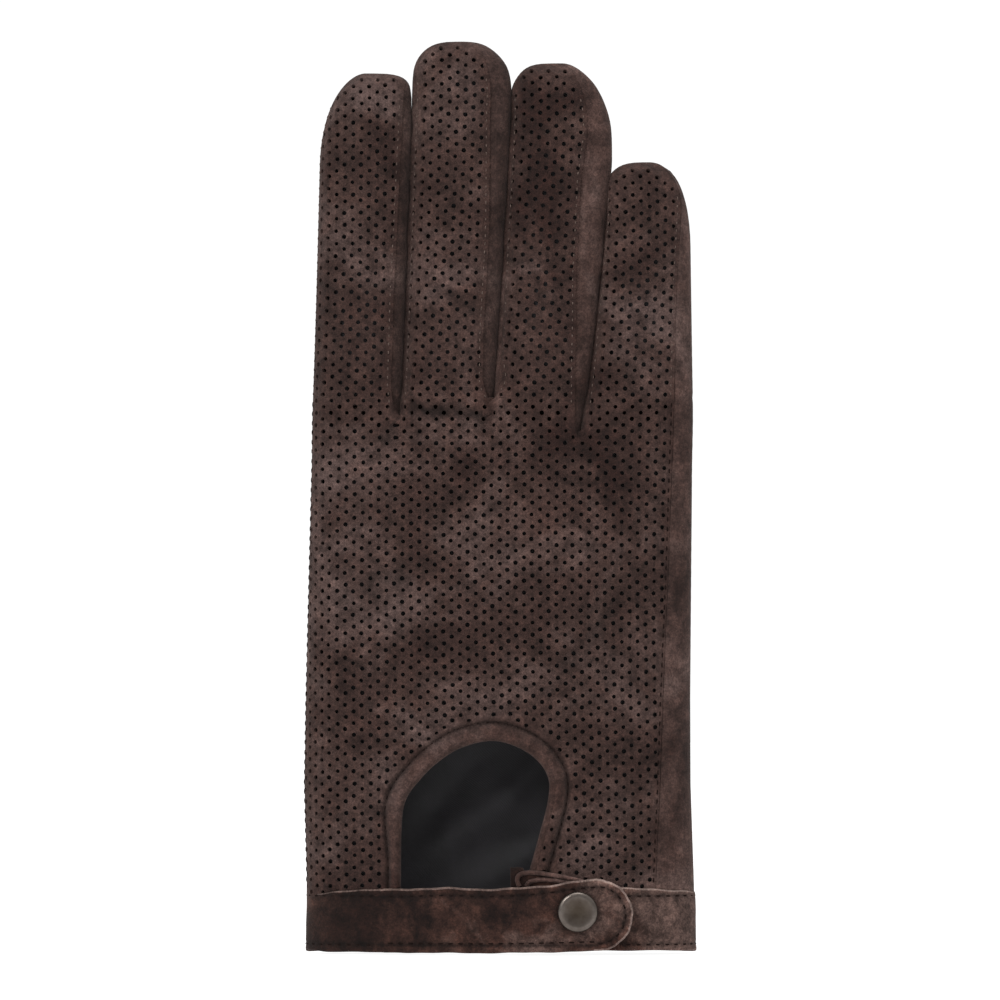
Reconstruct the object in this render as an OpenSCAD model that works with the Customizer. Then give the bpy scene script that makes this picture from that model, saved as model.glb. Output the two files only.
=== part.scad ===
// Right-hand driving glove, worn upright: fingers along +Z, back of the hand towards -Y.
// The origin is the centre of the hand opening at the cuff rim.

/* [Hand] */
// Height of the knuckle line, where the fingers bend
knuckle_z = 150; // [145:1:160]
// Height up to which the hand is one wide tube
web_z = 131; // [120:1:133]
// Half thickness of the palm at its fullest
palm_half_t = 11.8; // [9:0.1:15]
// Half thickness of the hand where the fingers begin
web_half_t = 7.6; // [6.5:0.1:9]
// How square the hand's cross-section is, 2 is an ellipse
hand_squareness = 2.6; // [2:0.1:3.2]

/* [Fingers] */
// Half thickness of a finger at its base
finger_half_t = 7.2; // [6:0.1:8]
// Half thickness of a finger near its tip
tip_half_t = 6; // [5:0.1:7]
// Height of the rounded tip
tip_h = 14; // [10:1:18]
// How square a finger's cross-section is, 2 is an ellipse
finger_squareness = 2.3; // [2:0.1:3]
// Angle of the fourchette seams above the finger's side
seam_angle = 40; // [25:1:55]

/* [Thumb] */
// Length of the thumb from the palm to its tip
thumb_len = 62; // [50:1:75]
// Half width of the thumb at its base
thumb_half_w = 12; // [10:0.5:14]
// Lean of the folded thumb across the palm
thumb_lean = 22; // [10:1:35]

/* [Leather] */
// Thickness of the suede
suede_t = 0.9; // [0.6:0.1:1.3]
// Thickness of the lining
lining_t = 0.35; // [0.2:0.05:0.6]
// Space between suede and lining
lining_gap = 0.1; // [0.05:0.05:0.3]

/* [Cuff] */
// Height of the cuff band
band_h = 16.5; // [12:0.5:22]
// Thickness of the folded band
band_t = 2.1; // [1.6:0.1:3]
// Left edge of the keyhole opening, where the strap begins
key_left = -25.8; // [-30:0.1:-20]
// Top of the keyhole opening
key_top = 54.6; // [48:0.1:62]
// Thickness of the strap
strap_t = 1.4; // [1:0.1:2]
// Distance from the band's front to the strap's outer face
strap_rise = 4.2; // [4:0.1:4.6]
// Position of the strap's tip
strap_tip_x = 33.2; // [30:0.1:38]

/* [Press stud] */
// Position of the press stud across the hand
snap_x = 19.6; // [17:0.1:22]
// Height of the press stud
snap_z = 10; // [9:0.1:11]
// Diameter of the cap
snap_cap_d = 10.4; // [9:0.1:12]

/* [Hidden] */

SUEDE = [0.26, 0.20, 0.18];
PLAIN_SUEDE = [0.30, 0.23, 0.21];
LINING = [0.10, 0.11, 0.12];
METAL = [0.50, 0.46, 0.43];
THREAD = [0.45, 0.37, 0.32];

joint_gap = 0.3;
band_out = band_t - suede_t - lining_gap - lining_t - 0.05;
lining_out = -suede_t - lining_gap;
lining_in = lining_out - lining_t;
// How much looser the lining hangs in the hand than in the fingers
slack = 0.15;
far = 60;

// Half width, half thickness and middle of the hand at a height
function hand_a(z) = lookup(z, [[0, 50.2], [20, 49.9], [43, 49.8], [65, 49.55], [137, 48.95]]);
function hand_b(z) = lookup(z, [[0, palm_half_t - 0.4], [60, palm_half_t],
                                [105, (palm_half_t + web_half_t) / 2 + 0.6], [web_z, web_half_t]]);
function hand_cx(z) = lookup(z, [[0, 0], [20, -0.2], [43, -0.9], [65, -0.75], [137, 0.45]]);

// Angle of the seam on the little-finger side at a height
function side_seam(z) = lookup(z, [[20, 37], [135, 28]]);

// Fingers: tip height, middle and half width at the web, and the same near the tip
INDEX = [225.3, -37.6, 10.5, -34.8, 11.0];
MIDDLE = [234.6, -15.1, 11.4, -10.2, 12.3];
RING = [229.0, 8.2, 11.2, 15.9, 13.1];
LITTLE = [203.5, 34.4, 14.3, 37.4, 10.3];

// A row of a tube's wall: height, middle, half width, half thickness, start and end angle, closure.
// Angles run from the little-finger side (0) over the back (90) to the index side (180).
function hand_row(z, t0, t1) = [z, hand_cx(z), hand_a(z), hand_b(z), t0, t1, 0];

function blend_at(z, f) = pow(min(1, max(0, (z - web_z) / (f[0] - tip_h - web_z))), 0.75);
function mix(p, q, s) = p + (q - p) * s;
function finger_row(f, z, t0, t1) =
    let (s = blend_at(z, f))
    [z, mix(f[1], f[3], s), mix(f[2], f[4], s), mix(finger_half_t, tip_half_t, s), t0, t1, 0];

// The rounded tip closes in a few rows; closure runs from 0 on the side to 1 at the very tip
TIP_ANGLES = [18, 36, 52, 66, 78, 90];
function tip_row(f, turn, t0, t1) =
    [f[0] - tip_h + tip_h * pow(sin(turn), 0.9), f[3],
     max(0.3, f[4] * pow(abs(cos(turn)), 0.72)), max(0.2, tip_half_t * pow(abs(cos(turn)), 0.8)),
     t0, t1, sin(turn)];

function steps(z0, z1, n) = [for (i = [0:n]) z0 + (z1 - z0) * i / n];

function finger_rows(f, z0, t0, t1) = concat(
    [for (z = steps(z0, f[0] - tip_h, 5)) finger_row(f, z, t0, t1)],
    [for (turn = TIP_ANGLES) tip_row(f, turn, t0, t1)]);

function root_rows(f, t0, t1) =
    [for (z = steps(web_z - 3, knuckle_z - joint_gap / 2, 3)) finger_row(f, z, t0, t1)];

function spow(v, e) = sign(v) * pow(abs(v), e);

// A point of a row's outline at an angle, moved outwards by an offset
function wall_point(r, angle, offset, n) =
    [r[1] + max(0.05, r[2] + offset * (1 - r[6])) * spow(cos(angle), 2 / n),
     -max(0.05, r[3] + offset * (1 - r[6])) * spow(sin(angle), 2 / n),
     r[0] + min(0, offset) * r[6]];

// Solid wall through the rows between two offsets, each a number or a table over the turn from 0 to 1
function offset_at(o, u) = is_list(o) ? lookup(u, o) : o;

module wall(rows, outer, inner, n, cols, ring = false) {
    m = len(rows) - 1;
    w = ring ? cols : cols + 1;
    function side(o) = [for (r = rows) for (j = [0:w - 1])
        wall_point(r, mix(r[4], r[5], j / cols), offset_at(o, j / cols), n)];
    base = (m + 1) * w;
    function a(i, j) = i * w + j % w;
    function b(i, j) = base + a(i, j);
    skin = [for (i = [0:m - 1]) for (j = [0:cols - 1])
        [a(i, j), a(i, j + 1), a(i + 1, j + 1), a(i + 1, j)]];
    back = [for (i = [0:m - 1]) for (j = [0:cols - 1])
        [b(i, j), b(i + 1, j), b(i + 1, j + 1), b(i, j + 1)]];
    foot = [for (j = [0:cols - 1]) [a(0, j + 1), a(0, j), b(0, j), b(0, j + 1)]];
    head = [for (j = [0:cols - 1]) [a(m, j), a(m, j + 1), b(m, j + 1), b(m, j)]];
    edges = ring ? [] : concat(
        [for (i = [0:m - 1]) [a(i, 0), a(i + 1, 0), b(i + 1, 0), b(i, 0)]],
        [for (i = [0:m - 1]) [a(i + 1, cols), a(i, cols), b(i, cols), b(i + 1, cols)]]);
    polyhedron(concat(side(outer), side(inner)), concat(skin, back, foot, head, edges), 8);
}

module hand_wall(z0, z1, rows, t0, t1, outer, inner, cols, ring = false) {
    wall([for (z = steps(z0, z1, rows)) hand_row(z, t0, t1)], outer, inner, hand_squareness,
         cols, ring);
}

// Angle on the back of the hand at a distance across it
function angle_at(x, z) =
    let (q = (x - hand_cx(z)) / hand_a(z)) acos(spow(q, hand_squareness / 2));

// Front face of the hand at a place and an offset, and how far it turns away there
function front_y(x, z, offset) =
    let (q = abs(x - hand_cx(z)) / (hand_a(z) + offset))
    -(hand_b(z) + offset) * pow(1 - pow(q, hand_squareness), 1 / hand_squareness);
function front_turn(x, z, offset) =
    atan((front_y(x + 1, z, offset) - front_y(x - 1, z, offset)) / 2);

// Keyhole outline as a smooth curve through a few points, open at the cuff
KEY = [[key_left, -2], [key_left, 18], [key_left, 38], [-21.5, 45], [-13.5, 51.8], [-3, key_top],
       [6.5, 51.8], [12.4, 45], [10.6, 33.5], [7, 22], [5.5, 15], [4, -2]];
function curve_point(p, i, s) =
    let (p0 = p[max(0, i - 1)], p1 = p[i], p2 = p[i + 1], p3 = p[min(len(p) - 1, i + 2)])
    0.5 * (2 * p1 + (p2 - p0) * s + (2 * p0 - 5 * p1 + 4 * p2 - p3) * s * s
           + (3 * p1 - p0 - 3 * p2 + p3) * s * s * s);
KEY_CURVE = concat([for (i = [0:len(KEY) - 2]) for (s = [0:0.25:0.75]) curve_point(KEY, i, s)],
                   [KEY[len(KEY) - 1]]);

// Prism of a flat outline on the back of the hand
module through_back() {
    rotate([90, 0, 0])
        linear_extrude(far)
            children();
}

module key_area(grow) {
    offset(delta = grow)
        polygon(KEY_CURVE);
}

module back_half(x0, x1, z0, z1) {
    translate([x0, -far / 2, z0])
        cube([x1 - x0, far / 2, z1 - z0]);
}

// ---- hand ----
rim_w = 3;
binding_gap = 0.1;

module back_panel() color(SUEDE) {
    difference() {
        wall([for (z = steps(band_h + 0.1, web_z, 10)) hand_row(z, side_seam(z) + 0.4, 179.6)],
             0, -suede_t, hand_squareness, 24);
        through_back()
            key_area(rim_w + binding_gap);
    }
    wall(root_rows(INDEX, seam_angle + 1, 179), 0, -suede_t, finger_squareness, 10);
    wall(root_rows(MIDDLE, seam_angle + 1, 179 - seam_angle), 0, -suede_t, finger_squareness, 8);
    wall(root_rows(RING, seam_angle + 1, 179 - seam_angle), 0, -suede_t, finger_squareness, 8);
    wall(root_rows(LITTLE, 29, 179 - seam_angle), 0, -suede_t, finger_squareness, 9);
}

thumb_base = [-27, palm_half_t + 8.2, 52];
thumb_hole_r = 10;

module thumb_hole() {
    translate([thumb_base[0] + 4, 0, thumb_base[2] + 10])
        rotate([-90, 0, 0])
            cylinder(h = far, r = thumb_hole_r, $fn = 48);
}

module palm_panel() color(PLAIN_SUEDE) {
    difference() {
        wall([for (z = steps(band_h + 0.1, web_z, 10)) hand_row(z, 180.4, 359.6 + side_seam(z))],
             0, -suede_t, hand_squareness, 30);
        thumb_hole();
    }
    wall(root_rows(INDEX, 181, 359 - seam_angle), 0, -suede_t, finger_squareness, 10);
    wall(root_rows(MIDDLE, 181 + seam_angle, 359 - seam_angle), 0, -suede_t, finger_squareness, 8);
    wall(root_rows(RING, 181 + seam_angle, 359 - seam_angle), 0, -suede_t, finger_squareness, 8);
    wall(root_rows(LITTLE, 181 + seam_angle, 387), 0, -suede_t, finger_squareness, 14);
}

module right_root(f) {
    wall(root_rows(f, -seam_angle, seam_angle), 0, -suede_t, finger_squareness, 8);
}

module left_root(f) {
    wall(root_rows(f, 180 - seam_angle, 180 + seam_angle), 0, -suede_t, finger_squareness, 8);
}

module fourchette_roots() color(PLAIN_SUEDE) {
    // Kept above the wide tube's top edge
    intersection() {
        union() {
            right_root(INDEX);
            left_root(MIDDLE);
            right_root(MIDDLE);
            left_root(RING);
            right_root(RING);
            left_root(LITTLE);
        }
        translate([-far, -far, web_z + 0.1])
            cube([2 * far, 2 * far, knuckle_z]);
    }
}

module back_lining() color(LINING) {
    difference() {
        wall([for (z = steps(band_h + 0.1, web_z - 3.2, 10)) hand_row(z, side_seam(z) + 0.4, 179.6)],
             lining_out - slack, lining_in - slack, hand_squareness, 24);
        through_back()
            key_area(rim_w + binding_gap);
    }
}

module palm_lining() color(LINING) {
    difference() {
        wall([for (z = steps(band_h + 0.1, web_z - 3.2, 10)) hand_row(z, 180.4, 359.6 + side_seam(z))],
             lining_out - slack, lining_in - slack, hand_squareness, 30);
        thumb_hole();
    }
}

module opening_binding() color(PLAIN_SUEDE) {
    intersection() {
        wall([for (z = steps(band_h + 0.1, key_top + rim_w + 2, 6)) hand_row(z, 60, 125)],
             0.6, lining_in, hand_squareness, 16);
        through_back()
            difference() {
                key_area(rim_w);
                key_area(0);
            }
    }
}

// ---- cuff ----
underlap_x = 2.3;
underlap_end_x = 31;
band_start_x = 7;

module cuff_band() color(PLAIN_SUEDE)
    difference() {
        hand_wall(0, band_h, 3, angle_at(key_left - joint_gap, snap_z),
                  360 + angle_at(band_start_x, snap_z), band_out, band_out - band_t, 56);
        stud_hole();
    }

underlap_top = 22;
underlap_out = band_out + 1.15;
module underlap() color(PLAIN_SUEDE) {
    difference() {
        hand_wall(strap_foot, underlap_top, 3, angle_at(underlap_end_x, snap_z),
                  angle_at(underlap_x, snap_z), underlap_out, band_out + 0.05, 12);
        stud_hole();
    }
}

strap_start_x = key_left;
strap_widens_x = -4;
strap_end_r = band_h / 2 + 0.95;
strap_end_z = strap_end_r + 0.6;
strap_foot = 0.1;
strap_outer = [[0, strap_rise], [0.5, strap_rise], [1, band_out + 0.4]];
strap_inner = [for (p = strap_outer) [p[0], p[1] - strap_t]];

module strap_wall(outer, inner) {
    hand_wall(0, strap_end_z + strap_end_r + 0.5, 2, angle_at(strap_tip_x + 1, snap_z), angle_at(strap_start_x, snap_z),
              outer, inner, 28);
}

module strap_flat() {
    translate([strap_start_x, 0])
        square([strap_widens_x - strap_start_x, band_h]);
    hull() {
        translate([strap_widens_x - 1, 0])
            square([1, band_h]);
        translate([strap_tip_x - strap_end_r, strap_end_z])
            circle(r = strap_end_r, $fn = 64);
    }
}

module strap() color(PLAIN_SUEDE) {
    difference() {
        intersection() {
            strap_wall(strap_outer, strap_inner);
            through_back()
                offset(delta = -strap_foot)
                    strap_flat();
        }
        at_snap()
            cylinder(h = 2 * far, r = cap_shank_r + 0.05, center = true, $fn = 32);
    }
}

// ---- press stud ----
// Places along the stud's own axis count outwards from the strap's outer face
cap_shank_r = 1.5;
stud_knob_r = 1.6;
stud_shank_r = 1;
socket_t = 0.6;
socket_top = -strap_t - 0.05;
stud_seat = underlap_out - strap_rise + 0.05;
post_top = band_out - band_t - strap_rise - 0.15;

module at_snap() {
    translate([snap_x, front_y(snap_x, snap_z, strap_rise), snap_z])
        rotate([90, 0, front_turn(snap_x, snap_z, strap_rise)])
            children();
}

module stud_hole() {
    at_snap()
        cylinder(h = 2 * far, r = stud_shank_r + 0.05, center = true, $fn = 32);
}

module turned(outline) {
    at_snap()
        rotate_extrude($fn = 64)
            polygon(outline);
}

module snap_cap() color(METAL)
    turned([[0, socket_top], [cap_shank_r, socket_top], [cap_shank_r, 0.1], [snap_cap_d / 2 - 0.5, 0.1],
            [snap_cap_d / 2, 0.4], [snap_cap_d / 2, 0.9], [snap_cap_d / 2 - 0.7, 1.5],
            [snap_cap_d / 2 - 1.6, 1.6], [1.6, 1.35], [0, 1.3]]);

module snap_socket() color(METAL)
    turned([[stud_knob_r + 0.15, socket_top - socket_t], [4, socket_top - socket_t],
            [4, socket_top], [stud_knob_r + 0.15, socket_top]]);

module snap_stud() color(METAL)
    turned([[0, post_top], [stud_shank_r, post_top], [stud_shank_r, stud_seat], [3.6, stud_seat],
            [3.6, stud_seat + 0.2], [stud_knob_r, stud_seat + 0.2], [stud_knob_r, socket_top - 0.1],
            [0, socket_top - 0.1]]);

module snap_post() color(METAL)
    turned([[stud_shank_r + 0.05, post_top], [4.2, post_top], [4.2, post_top - 0.4],
            [stud_shank_r + 0.05, post_top - 0.4]]);

// ---- thread ----
thread_t = 0.35;
thread_w = 0.5;

module band_thread(z) {
    hand_wall(z, z + thread_w, 1, angle_at(key_left - 1.5, snap_z),
              360 + angle_at(strap_tip_x + 1.5, snap_z), band_out + thread_t, band_out + 0.02, 56);
}

module cuff_stitching() color(THREAD) {
    band_thread(2.3);
    band_thread(band_h - 2.2);
}

module strap_line(inset) {
    difference() {
        offset(delta = -inset)
            strap_flat();
        offset(delta = -inset - thread_w)
            strap_flat();
    }
}

module strap_stitching() color(THREAD) {
    intersection() {
        strap_wall([for (p = strap_outer) [p[0], p[1] + thread_t]],
                   [for (p = strap_outer) [p[0], p[1] + 0.02]]);
        through_back()
            intersection() {
                strap_line(2);
                translate([strap_start_x + 3, 0])
                    square([snap_x - snap_cap_d / 2 - 4.5 - strap_start_x, band_h]);
            }
    }
}

module opening_stitching() color(THREAD) {
    intersection() {
        wall([for (z = steps(band_h + 0.3, key_top + 9, 5)) hand_row(z, 50, 130)],
             0.3, 0.02, hand_squareness, 16);
        through_back()
            difference() {
                key_area(5.9);
                key_area(5.4);
            }
    }
}

module side_stitching() color(THREAD) {
    wall([for (z = steps(band_h + 1, web_z - 3.5, 10)) hand_row(z, side_seam(z) + 1.6, side_seam(z) + 2.2)],
         0.35, 0.07, hand_squareness, 1);
    hand_wall(band_h + 1, web_z - 3.5, 10, 177, 177.8, 0.35, 0.07, 1);
}

// ---- thumb ----
THUMB = [thumb_len, 0, thumb_half_w, 0, thumb_half_w - 1.5];
thumb_half_t = 7.4;
function thumb_row(z, t0, t1) =
    [z, 0, mix(THUMB[2], THUMB[4], min(1, z / (thumb_len - tip_h))),
     mix(thumb_half_t, tip_half_t, min(1, z / (thumb_len - tip_h))), t0, t1, 0];
function thumb_rows(t0, t1) = concat(
    [for (z = steps(0, thumb_len - tip_h, 4)) thumb_row(z, t0, t1)],
    [for (turn = TIP_ANGLES) tip_row(THUMB, turn, t0, t1)]);

module at_thumb() {
    translate(thumb_base)
        rotate([0, thumb_lean, 0])
            children();
}

module thumb_back() color(PLAIN_SUEDE)
    at_thumb()
        wall(thumb_rows(0.5, 179.5), 0, -suede_t, finger_squareness, 16);

module thumb_front() color(PLAIN_SUEDE)
    at_thumb()
        wall(thumb_rows(180.5, 359.5), 0, -suede_t, finger_squareness, 16);

module thumb_lining() color(LINING)
    at_thumb()
        wall(thumb_rows(0, 360), lining_out, lining_in, finger_squareness, 18, ring = true);

// ---- fingers ----
module finger_wall(f, t0, t1, cols) {
    wall(finger_rows(f, knuckle_z + joint_gap / 2, t0, t1), 0, -suede_t, finger_squareness, cols);
}

module finger_lining(f) color(LINING)
    wall(finger_rows(f, knuckle_z + joint_gap / 2, 0, 360), lining_out, lining_in,
         finger_squareness, 18, ring = true);

edge = 1;
module index_back() color(SUEDE) finger_wall(INDEX, seam_angle + edge, 180 - edge, 14);
module index_front() color(PLAIN_SUEDE) finger_wall(INDEX, 180 + edge, 360 - seam_angle - edge, 14);
module index_fourchette() color(PLAIN_SUEDE) finger_wall(INDEX, -seam_angle, seam_angle, 8);
module index_lining() finger_lining(INDEX);

module middle_back() color(SUEDE)
    finger_wall(MIDDLE, seam_angle + edge, 180 - seam_angle - edge, 12);
module middle_front() color(PLAIN_SUEDE)
    finger_wall(MIDDLE, 180 + seam_angle + edge, 360 - seam_angle - edge, 12);
module middle_fourchette_left() color(PLAIN_SUEDE)
    finger_wall(MIDDLE, 180 - seam_angle, 180 + seam_angle, 8);
module middle_fourchette_right() color(PLAIN_SUEDE) finger_wall(MIDDLE, -seam_angle, seam_angle, 8);
module middle_lining() finger_lining(MIDDLE);

module ring_back() color(SUEDE) finger_wall(RING, seam_angle + edge, 180 - seam_angle - edge, 12);
module ring_front() color(PLAIN_SUEDE)
    finger_wall(RING, 180 + seam_angle + edge, 360 - seam_angle - edge, 12);
module ring_fourchette_left() color(PLAIN_SUEDE)
    finger_wall(RING, 180 - seam_angle, 180 + seam_angle, 8);
module ring_fourchette_right() color(PLAIN_SUEDE) finger_wall(RING, -seam_angle, seam_angle, 8);
module ring_lining() finger_lining(RING);

module little_back() color(SUEDE) finger_wall(LITTLE, 28 + edge, 180 - seam_angle - edge, 12);
module little_front() color(PLAIN_SUEDE) finger_wall(LITTLE, 180 + seam_angle + edge, 388 - edge, 16);
module little_fourchette() color(PLAIN_SUEDE)
    finger_wall(LITTLE, 180 - seam_angle, 180 + seam_angle, 8);
module little_lining() finger_lining(LITTLE);

back_panel();
palm_panel();
fourchette_roots();
back_lining();
palm_lining();
opening_binding();
cuff_band();
underlap();
snap_stud();
snap_post();
cuff_stitching();
opening_stitching();
side_stitching();
strap();
snap_cap();
snap_socket();
strap_stitching();
thumb_back();
thumb_front();
thumb_lining();
index_back();
index_front();
index_fourchette();
index_lining();
middle_back();
middle_front();
middle_fourchette_left();
middle_fourchette_right();
middle_lining();
ring_back();
ring_front();
ring_fourchette_left();
ring_fourchette_right();
ring_lining();
little_back();
little_front();
little_fourchette();
little_lining();
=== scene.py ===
"""Looks of a right-hand suede driving glove: perforated back, keyhole wrist opening, snapped strap."""
import math

import bpy
import numpy as np
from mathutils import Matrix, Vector
from mathutils.geometry import delaunay_2d_cdt


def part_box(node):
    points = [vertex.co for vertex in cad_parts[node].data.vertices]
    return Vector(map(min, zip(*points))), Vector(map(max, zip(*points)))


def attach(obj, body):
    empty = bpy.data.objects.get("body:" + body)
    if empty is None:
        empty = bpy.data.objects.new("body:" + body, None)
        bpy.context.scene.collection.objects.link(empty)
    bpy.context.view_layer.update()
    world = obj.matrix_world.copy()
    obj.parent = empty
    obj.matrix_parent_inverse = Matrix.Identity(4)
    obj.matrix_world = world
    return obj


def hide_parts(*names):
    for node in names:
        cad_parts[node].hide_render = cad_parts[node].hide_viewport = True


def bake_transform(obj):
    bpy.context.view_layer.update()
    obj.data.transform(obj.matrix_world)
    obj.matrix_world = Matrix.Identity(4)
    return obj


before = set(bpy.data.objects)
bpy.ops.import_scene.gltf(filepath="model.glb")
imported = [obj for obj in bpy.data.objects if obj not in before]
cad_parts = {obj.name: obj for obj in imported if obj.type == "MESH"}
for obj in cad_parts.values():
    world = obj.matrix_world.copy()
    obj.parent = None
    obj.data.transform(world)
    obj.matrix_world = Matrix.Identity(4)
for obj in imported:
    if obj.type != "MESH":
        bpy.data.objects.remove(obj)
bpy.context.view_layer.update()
MM = 0.001
rng = np.random.default_rng(7)

# ------------------------------------------------------------------ sizes, in millimetres
WEB_Z = 131.0
TIP_H = 14.0
BEND_START = 142.74
KNEE = 0.88
HAND_N = 2.6
FINGER_N = 2.3
SUEDE_T = 0.8
PANEL_FOOT = 13.0
FINGERS = ("index", "middle", "ring", "little")
TIP_Z = {f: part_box(f + "_back")[1].z / MM for f in FINGERS}
TIP_Z["index"] += 1.1

# Middle and half width of each finger at the web, and the same near its tip
FINGER_SHAPE = {
    "index": (-38.1, 11.0, -35.1, 11.4),
    "middle": (-15.1, 11.4, -10.2, 12.3),
    "ring": (8.2, 11.2, 15.9, 13.1),
    "little": (34.9, 14.9, 37.9, 10.9),
}
# Height and fullness of each finger tip's left and right shoulder
SHOULDERS = {
    "index": ((24, 1.15), (4, 0.5)),
    "middle": ((11, 0.6), (14, 0.72)),
    "ring": ((10, 0.46), (29, 1.08)),
    "little": ((8, 0.6), (22, 0.82)),
}
FINGER_HALF_T = (7.2, 6.0)
# Bottom of the slit between two fingers, as place and height
CROTCHES = [(-26.8, 138.0), (-3.2, 141.5), (19.8, 133.5)]
# Edges of the perforated panel on each finger, as height and share of the half width
LEFT_EDGE = {
    "middle": [(140, -0.95), (180, -0.96), (205, -0.96), (240, -0.95)],
    "ring": [(140, -0.99), (142.7, -0.985), (144.7, -0.92), (147.5, -0.86), (153, -0.93), (180, -0.965),
             (240, -0.965)],
    "little": [(133, -0.95), (160, -0.965), (210, -0.965)],
}
RIGHT_EDGE = {
    "index": [(138, 0.95), (141, 0.87), (146, 0.80), (170, 0.78), (205, 0.83), (230, 0.86)],
    "middle": [(140, 0.97), (142.7, 0.93), (144.7, 0.84), (147.5, 0.77), (160, 0.72), (185, 0.72),
               (215, 0.62), (240, 0.60)],
    "ring": [(133, 0.92), (137, 0.84), (150, 0.70), (175, 0.52), (200, 0.45), (215, 0.58), (230, 0.72)],
}
# The band and the strap cover the leather partly below COVERED and wholly below COVER_FROM
COVER_FROM = 15.5
COVERED = 17.5
# Keyhole: its edge as a smooth curve through these points
KEY = [(-25.8, 6), (-25.8, 18), (-25.6, 33), (-24.5, 39.4), (-21.2, 44.2), (-16.6, 48.8), (-10.7, 52.6),
       (-3, 54.6), (3.5, 53.3), (9, 49.9), (12.2, 45), (12.1, 39), (9.8, 30), (7.6, 22), (5.5, 15), (4, 6)]
# Perforations: spacing along a row, between rows, and radius
HOLE_PITCH = 4.2
HOLE_ROW = 1.56
HOLE_R = 0.60
HOLE_SIDES = 10
# Heights over which the hand's section turns into the fingers' sections
KNUCKLES = (124, 147)


def lerp(a, b, s):
    return a + (b - a) * s


def smooth(x, lo, hi):
    s = np.clip((np.asarray(x, float) - lo) / (hi - lo), 0, 1)
    return s * s * (3 - 2 * s)


def hump(x, middle, width):
    return np.exp(-((x - middle) / width) ** 2)


def power(value, exponent):
    """A power that keeps the sign."""
    return np.sign(value) * np.abs(value) ** exponent


def pairs(x, z):
    """Points from two coordinates, either of which may be a single number."""
    return np.stack(np.broadcast_arrays(np.asarray(x, float), z), -1)


def unit(vectors):
    return vectors / np.linalg.norm(vectors, axis=-1, keepdims=True)


def walked(curve):
    """Length walked along a curve at each of its points."""
    return np.concatenate([[0], np.cumsum(np.linalg.norm(np.diff(curve, axis=0), axis=1))])


def run_on(lay, u, z, lift, by=0.5):
    """A line laid on a surface, and the way out of that surface along it."""
    p = lay(u, z, lift)
    return p, unit(lay(u, z, lift + by) - p)


def hand_dims(z):
    """Middle, half width and half thickness of the hand at a height."""
    cx = np.interp(z, [0, 20, 43, 65, 137], [0, -0.2, -0.9, -0.75, 0.45])
    a = np.interp(z, [0, 20, 43, 65, 137], [50.2, 49.9, 49.8, 49.55, 48.95])
    b = np.interp(z, [0, 60, 105, WEB_Z], [11.4, 11.8, 10.3, 7.6])
    return cx, a, b


def tip_turn(z, tip):
    """How far a finger has closed at a height: 0 on its shaft, 1 at the very tip."""
    return np.clip((np.asarray(z, float) - (tip - TIP_H)) / TIP_H, 0, 0.9995) ** (1 / 0.9)


def along_finger(f, z):
    """How far a height is from a finger's web towards its tip."""
    return np.clip((z - WEB_Z) / (TIP_Z[f] - TIP_H - WEB_Z), 0, 1) ** 0.75


def finger_dims(f, z):
    """Middle, half width and half thickness of a finger at a height."""
    cx0, a0, cx1, a1 = FINGER_SHAPE[f]
    z = np.asarray(z, float)
    s = along_finger(f, z)
    close = np.sqrt(1 - tip_turn(z, TIP_Z[f]) ** 2)
    sides = []
    for height, fullness in SHOULDERS[f]:
        turn = np.clip((z - TIP_Z[f] + height) / height, 0, 0.9995) ** (1 / 0.9)
        sides.append(lerp(a0, a1, s) * np.sqrt(1 - turn ** 2) ** fullness)
    b = lerp(FINGER_HALF_T[0], FINGER_HALF_T[1], s) * close ** 0.8
    return lerp(cx0, cx1, s) + (sides[1] - sides[0]) / 2, (sides[0] + sides[1]) / 2, b


def side_table(n, ratio):
    """Share of the way round a section's side, from the knee to the widest point, against its outline."""
    t = np.linspace(0, np.pi / 2, 400)
    q = np.sin(t) ** (2 / n)
    y = np.cos(t) ** (2 / n)
    keep = q >= KNEE
    q, y = q[keep], y[keep]
    way = np.concatenate([[0], np.cumsum(np.hypot(np.diff(q), ratio * np.diff(y)))])
    return way / way[-1], q, y


HAND_SIDE = side_table(HAND_N, 0.2)
FINGER_SIDE = side_table(FINGER_N, 0.6)


def side_length(a, b, n):
    """Length round the side from the knee to the widest point."""
    return 1.1 * np.hypot((1 - KNEE) * a, b * (1 - KNEE ** n) ** (1 / n))


def on_section(d, cx, a, b, n, table):
    """Place on a section: d runs across the leather, equal to x up to the knee, then round the side."""
    q = (d - cx) / a
    beyond = (np.abs(q) - KNEE) * a / side_length(a, b, n)
    around = np.clip(beyond, 0, 2)
    wrap = around > 1
    share = np.where(wrap, 2 - around, around)
    q_side = np.interp(share, table[0], table[1]) * np.sign(q)
    y_side = np.interp(share, table[0], table[2]) * np.where(wrap, -1, 1)
    past = np.maximum(beyond - 2, 0) * side_length(a, b, n) / a
    q_out = np.where(np.abs(q) < KNEE, q, np.where(past > 0, (KNEE - past) * np.sign(q), q_side))
    crown = (1 - np.minimum(np.abs(q_out), 1) ** n) ** (1 / n)
    y_out = np.where(np.abs(q) < KNEE, crown, np.where(past > 0, -crown, y_side))
    return cx + a * q_out, b * y_out


def across_to(q, cx, a, b, n, table):
    """The distance across the leather at which it reaches this share of the half width."""
    beyond = np.interp(np.abs(q), table[1], table[0]) * side_length(a, b, n)
    return cx + np.sign(q) * np.where(np.abs(q) <= KNEE, np.abs(q) * a, KNEE * a + beyond)


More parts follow.
